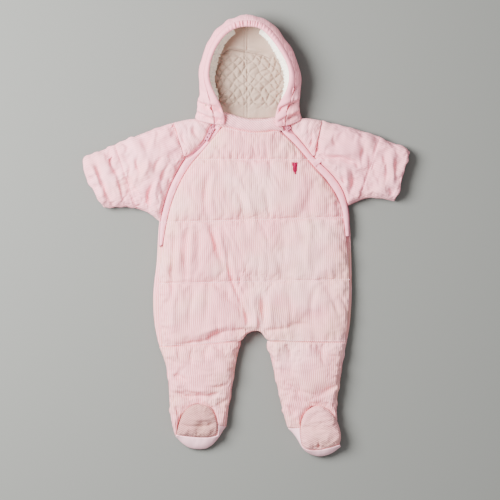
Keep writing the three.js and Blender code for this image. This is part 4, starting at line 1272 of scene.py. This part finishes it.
def panels() -> list[Panel]:
    """Lists every panel with its relief.

    Returns:
        The panels, the body first.
    """
    flat = Relief(seam=Puckers(0.4, 12, 9), swell=0.25, seed=300)
    under = {"levels": 2, "hidden": None}
    in_hood = {"sharp": 62, "hidden": None, "bend": close_hood}
    made = [
        Panel("front_body", "front",
              Relief(FRONT_FOLDS, QUILTING, Puckers(0.9, 13, 10), swell=0.7, crinkle=1.2,
                     crinkle_length=30, seed=11), growth=0.05),
        Panel("back_body", "front", flat, **under),
        Panel("collar", "collar",
              Relief(seam=Puckers(0.35, 9, 6), swell=0.3, swell_length=18, seed=17), grain=52,
              bend=tuck_collar),
    ]
    for number, side in enumerate(SIDES):
        away = 1 if side == "left" else -1
        seed = 100 + 50 * number
        made += [
            Panel(f"shoulder_{side}", "limb",
                  Relief(YOKE_FOLDS[side], (), Puckers(0.7, 10, 8), 0.5, 24, 0.9, 20, 0.3 * away, seed),
                  grain=away * 25, growth=0.05),
            Panel(f"sleeve_front_{side}", "limb",
                  Relief(SLEEVE_FOLDS[side], (SLEEVE_LINES[side],), Puckers(1.1, 11, 9), 0.9, 30,
                         SLEEVE_CRINKLE[side], 30, 0.25 * away, seed + 1),
                  grain=away * 70, growth=0.08, waviness=1.8, sewn_toward=(away, 0.2)),
            Panel(f"sleeve_back_{side}", "limb", flat, grain=away * 70, **under),
            Panel(f"front_leg_{side}", "front",
                  Relief(LEG_FOLDS[side], (), Puckers(1.0, 10, 9), 0.8, 30, 1.4, 26, 1.4, seed + 3),
                  grain=-away * 4, growth=0.05, waviness=1.5, lip=1.1, sewn_toward=(0, 1),
                  still_below=-280),
            Panel(f"back_leg_{side}", "front", flat, **under),
            Panel(f"vamp_{side}", f"vamp_{side}",
                  Relief(VAMP_FOLDS[side], (), Puckers(0.7, 7, 6), 0.5, 20, 0.7, 14, 1.4, seed + 5),
                  grain=away * 60, growth=0.05),
            Panel(f"sole_{side}", "sole",
                  Relief(seam=Puckers(0.4, 8, 6), swell=0.3, swell_length=18, seed=seed + 6), **under),
            Panel(f"zip_flap_{side}", "welt",
                  Relief(WELT_FOLDS[side], (), Puckers(0.3, 9, 4), swell=0.4, swell_length=16,
                         seed=seed + 7),
                  Slot.WELT, hidden=None, fill=0.4, bend=ZIPS[side].spread, lip=0.0),
            Panel(f"zip_{side}", "tape", Relief(seam=Puckers(0.0), swell=0.0, seed=seed + 8), Slot.TAPE,
                  levels=2, cut=TAPE_CUT[side], bend=ZIPS[side].flatten),
            Panel(f"hood_{side}", "hood",
                  Relief(HOOD_FOLDS[side], (), Puckers(0.6, 12, 9), 0.6, 34, 1.0, 24, 1.5, seed + 9),
                  waviness=0.7, sewn_toward=(0, -1), **in_hood),
            Panel(f"hood_lining_{side}", "lining",
                  Relief(LINING_FOLDS, seam=Puckers(0.3), swell=0.3, seed=seed + 10),
                  Slot.LINING, fill=0.4, extra=lining_quilt, **in_hood),
            Panel(f"fleece_{side}", "fleece",
                  Relief(seam=Puckers(0.4), swell=0.7, swell_length=7, crinkle=0.5, crinkle_length=5,
                         seed=seed + 11), Slot.FLEECE, fill=0.4, pile=3.6, **in_hood),
        ]
    made.append(Panel("hood_rim", "rim",
                      Relief(RIM_FOLDS, (), Puckers(0.0), swell=0.2, swell_length=30, seed=401),
                      Slot.WELT, sharp=75, hidden=None, fill=0.4, extra=gathers, bend=close_hood))
    return made


# Repeats along a line


@dataclass(frozen=True)
class Repeat:
    """A Geometry Nodes modifier that sets copies of one thing along a line."""

    spacing: float
    scale: tuple[float, float, float]

    def tree(self, unit: bpy.types.Object, material: bpy.types.Material) -> bpy.types.NodeTree:
        """Builds the node group.

        Args:
            unit: The thing that is repeated, one metre long.
            material: Its material.

        Returns:
            The node group.
        """
        tree = bpy.data.node_groups.new("repeat", "GeometryNodeTree")
        face = tree.interface
        face.new_socket("Geometry", in_out="INPUT", socket_type="NodeSocketGeometry")
        face.new_socket("Spacing", in_out="INPUT", socket_type="NodeSocketFloat")
        face.new_socket("Size", in_out="INPUT", socket_type="NodeSocketVector")
        face.new_socket("Geometry", in_out="OUTPUT", socket_type="NodeSocketGeometry")
        make, link = tree.nodes.new, tree.links.new
        given, result = make("NodeGroupInput"), make("NodeGroupOutput")
        curve = make("GeometryNodeMeshToCurve")
        even = make("GeometryNodeResampleCurve")
        even.mode = "LENGTH"
        tangent = make("GeometryNodeInputTangent")
        lie = make("FunctionNodeAlignRotationToVector")
        lie.axis = "X"
        stand = make("FunctionNodeAlignRotationToVector")
        stand.axis = "Z"
        stand.pivot_axis = "X"
        stand.inputs["Vector"].default_value = (0, 0, 1)
        source = make("GeometryNodeObjectInfo")
        source.inputs["Object"].default_value = unit
        place = make("GeometryNodeInstanceOnPoints")
        real = make("GeometryNodeRealizeInstances")
        dress = make("GeometryNodeSetMaterial")
        dress.inputs["Material"].default_value = material
        link(given.outputs["Geometry"], curve.inputs["Mesh"])
        link(curve.outputs[0], even.inputs["Curve"])
        link(given.outputs["Spacing"], even.inputs["Length"])
        link(even.outputs[0], place.inputs["Points"])
        link(source.outputs["Geometry"], place.inputs["Instance"])
        link(given.outputs["Size"], place.inputs["Scale"])
        link(tangent.outputs[0], lie.inputs["Vector"])
        link(lie.outputs[0], stand.inputs["Rotation"])
        link(stand.outputs[0], place.inputs["Rotation"])
        link(place.outputs[0], real.inputs[0])
        link(real.outputs[0], dress.inputs["Geometry"])
        link(dress.outputs[0], result.inputs[0])
        return tree

    def along(self, name: str, lines: Sequence[np.ndarray], unit: bpy.types.Object,
              material: bpy.types.Material) -> bpy.types.Object:
        """Sets the copies along some lines.

        Args:
            name: The piece's name.
            lines: Each a row of points in metres.
            unit: The thing that is repeated.
            material: Its material.

        Returns:
            The plain piece.
        """
        mesh = bpy.data.meshes.new(name)
        points = [tuple(point) for line in lines for point in line]
        edges, start = [], 0
        for line in lines:
            edges += [(start + step, start + step + 1) for step in range(len(line) - 1)]
            start += len(line)
        mesh.from_pydata(points, edges, [])
        holder = new_object("draft", mesh)
        tree = self.tree(unit, material)
        modifier = holder.modifiers.new("repeat", "NODES")
        modifier.node_group = tree
        sockets = {item.name: item.identifier for item in tree.interface.items_tree
                   if item.item_type == "SOCKET" and item.in_out == "INPUT"}
        modifier[sockets["Spacing"]] = self.spacing
        modifier[sockets["Size"]] = self.scale
        holder.update_tag()
        piece = plain_copy(name, holder)
        smooth(piece.data)
        return piece


def capsule(name: str, sides: int = 6, rings: int = 5) -> bpy.types.Object:
    """Makes a rounded rod of unit length along X, as a template.

    Args:
        name: Its name.
        sides: Sides of its section.
        rings: Sections along it.

    Returns:
        The template object, which is removed after use.
    """
    shape = bmesh.new()
    loops = []
    for ring in range(rings):
        x = -0.5 + (ring + 0.5) / rings
        radius = 0.5 * math.sqrt(max(1 - (abs(2 * x) ** 3), 0.05))
        loops.append([shape.verts.new((x * 1.1, radius * math.cos(2 * math.pi * side / sides),
                                       radius * math.sin(2 * math.pi * side / sides)))
                      for side in range(sides)])
    for one, two in zip(loops, loops[1:]):
        for side in range(sides):
            shape.faces.new((one[side], two[side], two[(side + 1) % sides], one[(side + 1) % sides]))
    shape.faces.new(loops[0])
    shape.faces.new(loops[-1][::-1])
    bmesh.ops.recalc_face_normals(shape, faces=shape.faces)
    return new_object(name, mesh_of(name, shape))


def spline(rows: Path, step: float = 1.0) -> np.ndarray:
    """Draws a smooth line through places in the plan.

    Args:
        rows: The places in millimetres.
        step: Distance between its points in millimetres.

    Returns:
        Points of the line in metres, one row each.
    """
    knots = np.array(rows, float)
    knots = np.vstack([2 * knots[0] - knots[1], knots, 2 * knots[-1] - knots[-2]])
    parts = []
    for index in range(1, len(knots) - 2):
        a, b, c, d = knots[index - 1:index + 3]
        count = max(int(np.hypot(*(c - b)) / step), 2)
        t = np.linspace(0, 1, count, endpoint=index == len(knots) - 3)[:, None]
        parts.append(0.5 * (2 * b + (c - a) * t + (2 * a - 5 * b + 4 * c - d) * t**2
                            + (3 * b - a - 3 * c + d) * t**3))
    return np.vstack(parts) * MM


def even_spacing(line: np.ndarray, count: int) -> np.ndarray:
    """Gives a number of points evenly spaced along a line."""
    far = np.concatenate([[0], np.cumsum(np.hypot(*np.diff(line, axis=0).T))])
    spots = np.linspace(0, far[-1], count)
    return np.stack([np.interp(spots, far, line[:, 0]), np.interp(spots, far, line[:, 1])], axis=1)


def look_down(tree: BVHTree, x: float, y: float) -> tuple[Optional[Vector], Optional[Vector]]:
    """Finds the place and the normal that show from above at a place in metres, or two Nones."""
    return tree.ray_cast(Vector((x, y, LOOK_HEIGHT)), Vector((0, 0, -1)))[:2]


def laid_on(tree: BVHTree, line: np.ndarray, lift: float) -> list[np.ndarray]:
    """Lays a line of the plan on the cloth.

    Args:
        tree: The cloth.
        line: Points in metres.
        lift: Height of the line over the cloth, in metres.

    Returns:
        The stretches of it that meet the cloth.
    """
    stretches: list[list[Vector]] = [[]]
    for x, y in line:
        hit, normal = look_down(tree, x, y)
        steep = hit is None or normal.z < 0.2
        jump = bool(stretches[-1]) and hit is not None and abs(hit.z - stretches[-1][-1].z) > 3 * MM
        if steep or jump:
            if stretches[-1]:
                stretches.append([])
            if steep:
                continue
        stretches[-1].append(hit + normal * lift)
    return [np.array(stretch) for stretch in stretches if len(stretch) > 3]


@dataclass(frozen=True)
class Seam:
    """A run of stitches."""

    name: str
    lines: Sequence[Path]
    spacing: float = 3.4
    length: float = 2.6
    width: float = 0.9
    finish: str = "thread"
    lift: float = 0.35


SEAMS = (
    Seam("quilting_stitches", (((-146, 123.3), (0, 122.9), (142, 122.6)),
                               ((-141, 22.3), (20, 26.5), (156, 30.6)),
                               ((-143, -75.8), (0, -72.7), (165, -69.2)))),
    Seam("collar_stitches", (((-35, 195), (-7, 186.5), (20, 183), (47, 188)),), spacing=3.0),
    Seam("neck_stitches", (((-37, 174), (-7, 166.5), (20, 163.5), (51, 168)),), spacing=3.0),
    # The cuff stitches are real; their darker thread is painted shade of their groove.
    Seam("cuff_stitches", (((-212, 147), (-205, 125), (-191, 86), (-177, 46)),
                           ((213, 160), (205, 134), (192, 95), (180, 60))),
         spacing=3.2, finish="groove_shade_thread"),
    Seam("leg_stitches", (((-138, -174.5), (-75, -171), (-20, -165.5)),
                          ((40, -164.5), (88, -166.8), (158, -167.4)))),
    # The lining's dark brown stitches paint the shade of its crease and of its centre seam.
    Seam("lining_stitches", (((-38, 292), (-32, 297), (-25, 299), (-4, 296), (18, 292), (28, 289),
                              (36, 285)),),
         spacing=2.2, length=2.2, width=0.7, finish="lining_thread", lift=0.1),
    Seam("lining_seam_stitches", (((-4, 328), (-3.6, 296), (-3.4, 250), (-3, 208)),),
         spacing=2.4, length=1.6, width=0.45, finish="lining_thread", lift=0.0),
    Seam("shoulder_stitches", (((-101.5, 128), (-110.6, 156), (-118, 180)),
                               ((111.5, 128), (116.6, 156), (122, 182)))),
)


def sew(suit: Suit) -> None:
    """Sews every visible run of stitches.

    Args:
        suit: The suit.
    """
    tree = suit.surface()
    unit = capsule("stitch_unit")
    for seam in SEAMS:
        lines = [part for path in seam.lines for part in laid_on(tree, spline(path), seam.lift * MM)]
        if not lines:
            LOG.warning("%s meets no cloth", seam.name)
            continue
        repeat = Repeat(seam.spacing * MM, (seam.length * MM, seam.width * MM, seam.width * MM * 0.8))
        piece = repeat.along(seam.name, lines, unit, suit.finishes[seam.finish])
        suit.add(piece, seam.finish, Slot.CORDUROY)
    bpy.data.objects.remove(unit)


@dataclass(frozen=True)
class Stroke:
    """A line of satin stitch."""

    path: Path
    width: float


FLOWER = (
    Stroke(((77.6, 99.4), (76.8, 105), (77, 110.5)), 3.0),
    Stroke(((77, 101.5), (74.6, 105.2), (74.4, 110)), 2.2),
    Stroke(((77.3, 102), (79.6, 105.6), (79.8, 110.4)), 2.2),
    Stroke(((76.6, 110), (74.2, 113), (73.6, 118.4)), 3.2),
    Stroke(((77.0, 110), (77.1, 114), (77, 118)), 4.0),
    Stroke(((77.4, 110), (79.9, 113), (80.4, 118.4)), 3.2),
)


def joined(name: str, parts: Sequence[bpy.types.Object]) -> bpy.types.Object:
    """Joins plain objects into a new one and removes them.

    Args:
        name: The new object's name.
        parts: The objects.

    Returns:
        The new object.
    """
    shape = bmesh.new()
    for part in parts:
        shape.from_mesh(part.data)
        bpy.data.objects.remove(part)
    mesh = mesh_of(name, shape)
    smooth(mesh)
    return new_object(name, mesh)


def embroider(suit: Suit) -> None:
    """Embroiders the small flower on the front.

    Args:
        suit: The suit.
    """
    tree = suit.surface()
    unit = capsule("satin_unit", 6, 3)
    parts = []
    for number, stroke in enumerate(FLOWER):
        for line in laid_on(tree, spline(stroke.path, 0.5), 0.5 * MM):
            repeat = Repeat(0.45 * MM, (0.62 * MM, stroke.width * MM, 0.7 * MM))
            parts.append(repeat.along(f"stroke_{number}", [line], unit, suit.finishes["crimson"]))
    bpy.data.objects.remove(unit)
    suit.add(joined("embroidered_flower", parts), "crimson", Slot.CORDUROY)


def set_teeth(suit: Suit) -> None:
    """Sets the zip's teeth on its tape where the welt leaves them bare.

    Args:
        suit: The suit.
    """
    unit = capsule("tooth_unit", 6, 3)
    lines = laid_on(suit.surface(), spline(ZIPS["left"].teeth), 0.2 * MM)
    piece = Repeat(1.5 * MM, (0.9 * MM, 3.0 * MM, 1.1 * MM)).along("zip_teeth_left", lines, unit,
                                                                  suit.finishes["teeth"])
    suit.add(piece, "teeth", Slot.HARDWARE)
    bpy.data.objects.remove(unit)


@dataclass(frozen=True)
class Keeper:
    """The little stitched tab across the right welt."""

    centre: tuple[float, float] = (112.5, 118.5)
    across: tuple[float, float] = (0.76, 0.65)
    length: float = 14.0
    width: float = 8.5
    thick: float = 1.3

    def build(self, suit: Suit) -> None:
        """Makes the tab, laid over the welt and the edges beside it.

        Args:
            suit: The suit.
        """
        tree = suit.surface()
        rows, columns = 15, 11
        u, v = np.meshgrid(np.linspace(-1, 1, rows), np.linspace(-1, 1, columns), indexing="ij")
        x = self.centre[0] + u * self.length / 2 * self.across[0] - v * self.width / 2 * self.across[1]
        y = self.centre[1] + u * self.length / 2 * self.across[1] + v * self.width / 2 * self.across[0]
        found = [look_down(tree, a * MM, b * MM)[0].z for a, b in zip(x.ravel(), y.ravel())]
        terms = np.stack([np.ones(u.size), u.ravel(), v.ravel(), (u * u).ravel()], axis=1)
        fit = terms @ np.linalg.lstsq(terms, np.array(found), rcond=None)[0]
        base = (fit + np.percentile(np.array(found) - fit, 80)).reshape(u.shape)
        rounding = np.sqrt(np.clip(1 - np.maximum(np.abs(u), np.abs(v)) ** 6, 0, 1))
        top = base + self.thick * MM * (0.25 + 0.75 * rounding)
        under = base - 0.6 * MM
        mesh = bpy.data.meshes.new("zip_keeper_right")
        points = [(a * MM, b * MM, c) for level in (top, under)
                  for a, b, c in zip(x.ravel(), y.ravel(), level.ravel())]
        count = rows * columns
        faces = []
        for row in range(rows - 1):
            for column in range(columns - 1):
                one = row * columns + column
                ring = (one, one + columns, one + columns + 1, one + 1)
                faces += [ring, tuple(index + count for index in reversed(ring))]
        rim = list(range(columns))
        rim += [row * columns + columns - 1 for row in range(1, rows)]
        rim += [(rows - 1) * columns + column for column in range(columns - 2, -1, -1)]
        rim += [row * columns for row in range(rows - 2, 0, -1)]
        faces += [(one, two, two + count, one + count) for one, two in zip(rim, rim[1:] + rim[:1])]
        mesh.from_pydata(points, [], faces)
        shape = bmesh.new()
        shape.from_mesh(mesh)
        bmesh.ops.recalc_face_normals(shape, faces=shape.faces)
        shape.to_mesh(mesh)
        shape.free()
        piece = subdivided("zip_keeper_right", new_object("draft", mesh), 1)
        smooth(piece.data)
        suit.add(piece, "welt", Slot.WELT)
        suit.cloth.append(piece)


# Hardware and the stage


def paint_tab_hole_shade(suit: Suit) -> None:
    """Sets three dark dots on the left pull tab, painted shade standing for its small holes.

    Args:
        suit: The suit.
    """
    node = suit.nodes["pull_tab_left"]
    tree = BVHTree.FromPolygons([vertex.co.copy() for vertex in node.data.vertices],
                                [tuple(face.vertices) for face in node.data.polygons])
    hinge, tip = Vector((-56.4, 170.4, 0)) * MM, Vector((-68.2, 149.3, 0)) * MM
    shape = bmesh.new()
    for share in (0.3, 0.55, 0.8):
        spot = hinge.lerp(tip, share)
        hit = look_down(tree, spot.x, spot.y)[0]
        if hit is None:
            continue
        ball = bmesh.ops.create_uvsphere(shape, u_segments=14, v_segments=8, radius=1.0)
        for vertex in ball["verts"]:
            vertex.co = hit + Vector((vertex.co.x * 1.3, vertex.co.y * 1.3, vertex.co.z * 0.35)) * MM
    mesh = mesh_of("pull_tab_dots_left", shape)
    smooth(mesh)
    suit.add(new_object("pull_tab_dots_left", mesh), "tab_hole_shade", Slot.HARDWARE, body=TAB_BODY)


def bevelled(suit: Suit, node: str, width: float, body: str) -> None:
    """Rounds a hard node's edges in a piece that stands for it.

    Args:
        suit: The suit.
        node: The CAD node.
        width: Width of the rounding in millimetres.
        body: The body that it rides on.
    """
    draft = new_object("draft", suit.nodes[node].data.copy())
    bevel = draft.modifiers.new("bevel", "BEVEL")
    bevel.width = width * MM
    bevel.segments = 3
    bevel.limit_method = "ANGLE"
    piece = plain_copy(f"metal_{node}", draft)
    suit.add(piece, "enamel", Slot.HARDWARE, [node], body)


def stage() -> None:
    """Sets the floor, the lights and the camera, as the photo shows the suit."""
    floor_mesh = bpy.data.meshes.new("floor")
    half = 3.0
    floor_mesh.from_pydata([(-half, -half, 0), (half, -half, 0), (half, half, 0), (-half, half, 0)], [],
                           [(0, 1, 2, 3)])
    floor = new_object("floor", floor_mesh)
    floor.location.z = -0.3 * MM
    shader = Shader("pale_floor", 0.9)
    shader.surface.inputs["Base Color"].default_value = linear(114, 115, 111)
    floor_mesh.materials.append(shader.material)

    world = bpy.data.worlds.new("soft_room")
    world.use_nodes = True
    room = world.node_tree.nodes["Background"].inputs
    room["Color"].default_value = linear(250, 250, 252)
    room["Strength"].default_value = 0.72
    bpy.context.scene.world = world

    lamp = bpy.data.lights.new("window", "AREA")
    lamp.shape = "DISK"
    lamp.size = 1.1
    lamp.energy = 131
    light = bpy.data.objects.new("window", lamp)
    light.location = (-1.1, 0.42, 1.3)
    light.rotation_euler = (-light.location).to_track_quat("-Z", "Y").to_euler()
    bpy.context.scene.collection.objects.link(light)

    camera = bpy.data.cameras.new("camera")
    above = 6.0
    width_seen = 0.8
    plane = 22 * MM
    camera.sensor_width = 36
    camera.lens = 36 * (above - plane) / width_seen
    eye = bpy.data.objects.new("camera", camera)
    eye.location = (5.4 * MM, -21.9 * MM, above)
    bpy.context.scene.collection.objects.link(eye)
    bpy.context.scene.camera = eye


def main() -> None:
    """Dresses the suit, part by part."""
    logging.basicConfig(level=logging.INFO, format="%(name)s: %(message)s")
    suit = Suit()
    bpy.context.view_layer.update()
    for panel in panels():
        panel.build(suit)
    Keeper().build(suit)
    sew(suit)
    set_teeth(suit)
    embroider(suit)
    for side in SIDES:
        bevelled(suit, f"slider_{side}", 0.3, ROOT_BODY)
        bevelled(suit, f"pull_tab_{side}", 0.35, TAB_BODY if side == "left" else ROOT_BODY)
    paint_tab_hole_shade(suit)
    stage()
    LOG.info("%d pieces", suit.count)


if __name__ == "__main__":
    main()
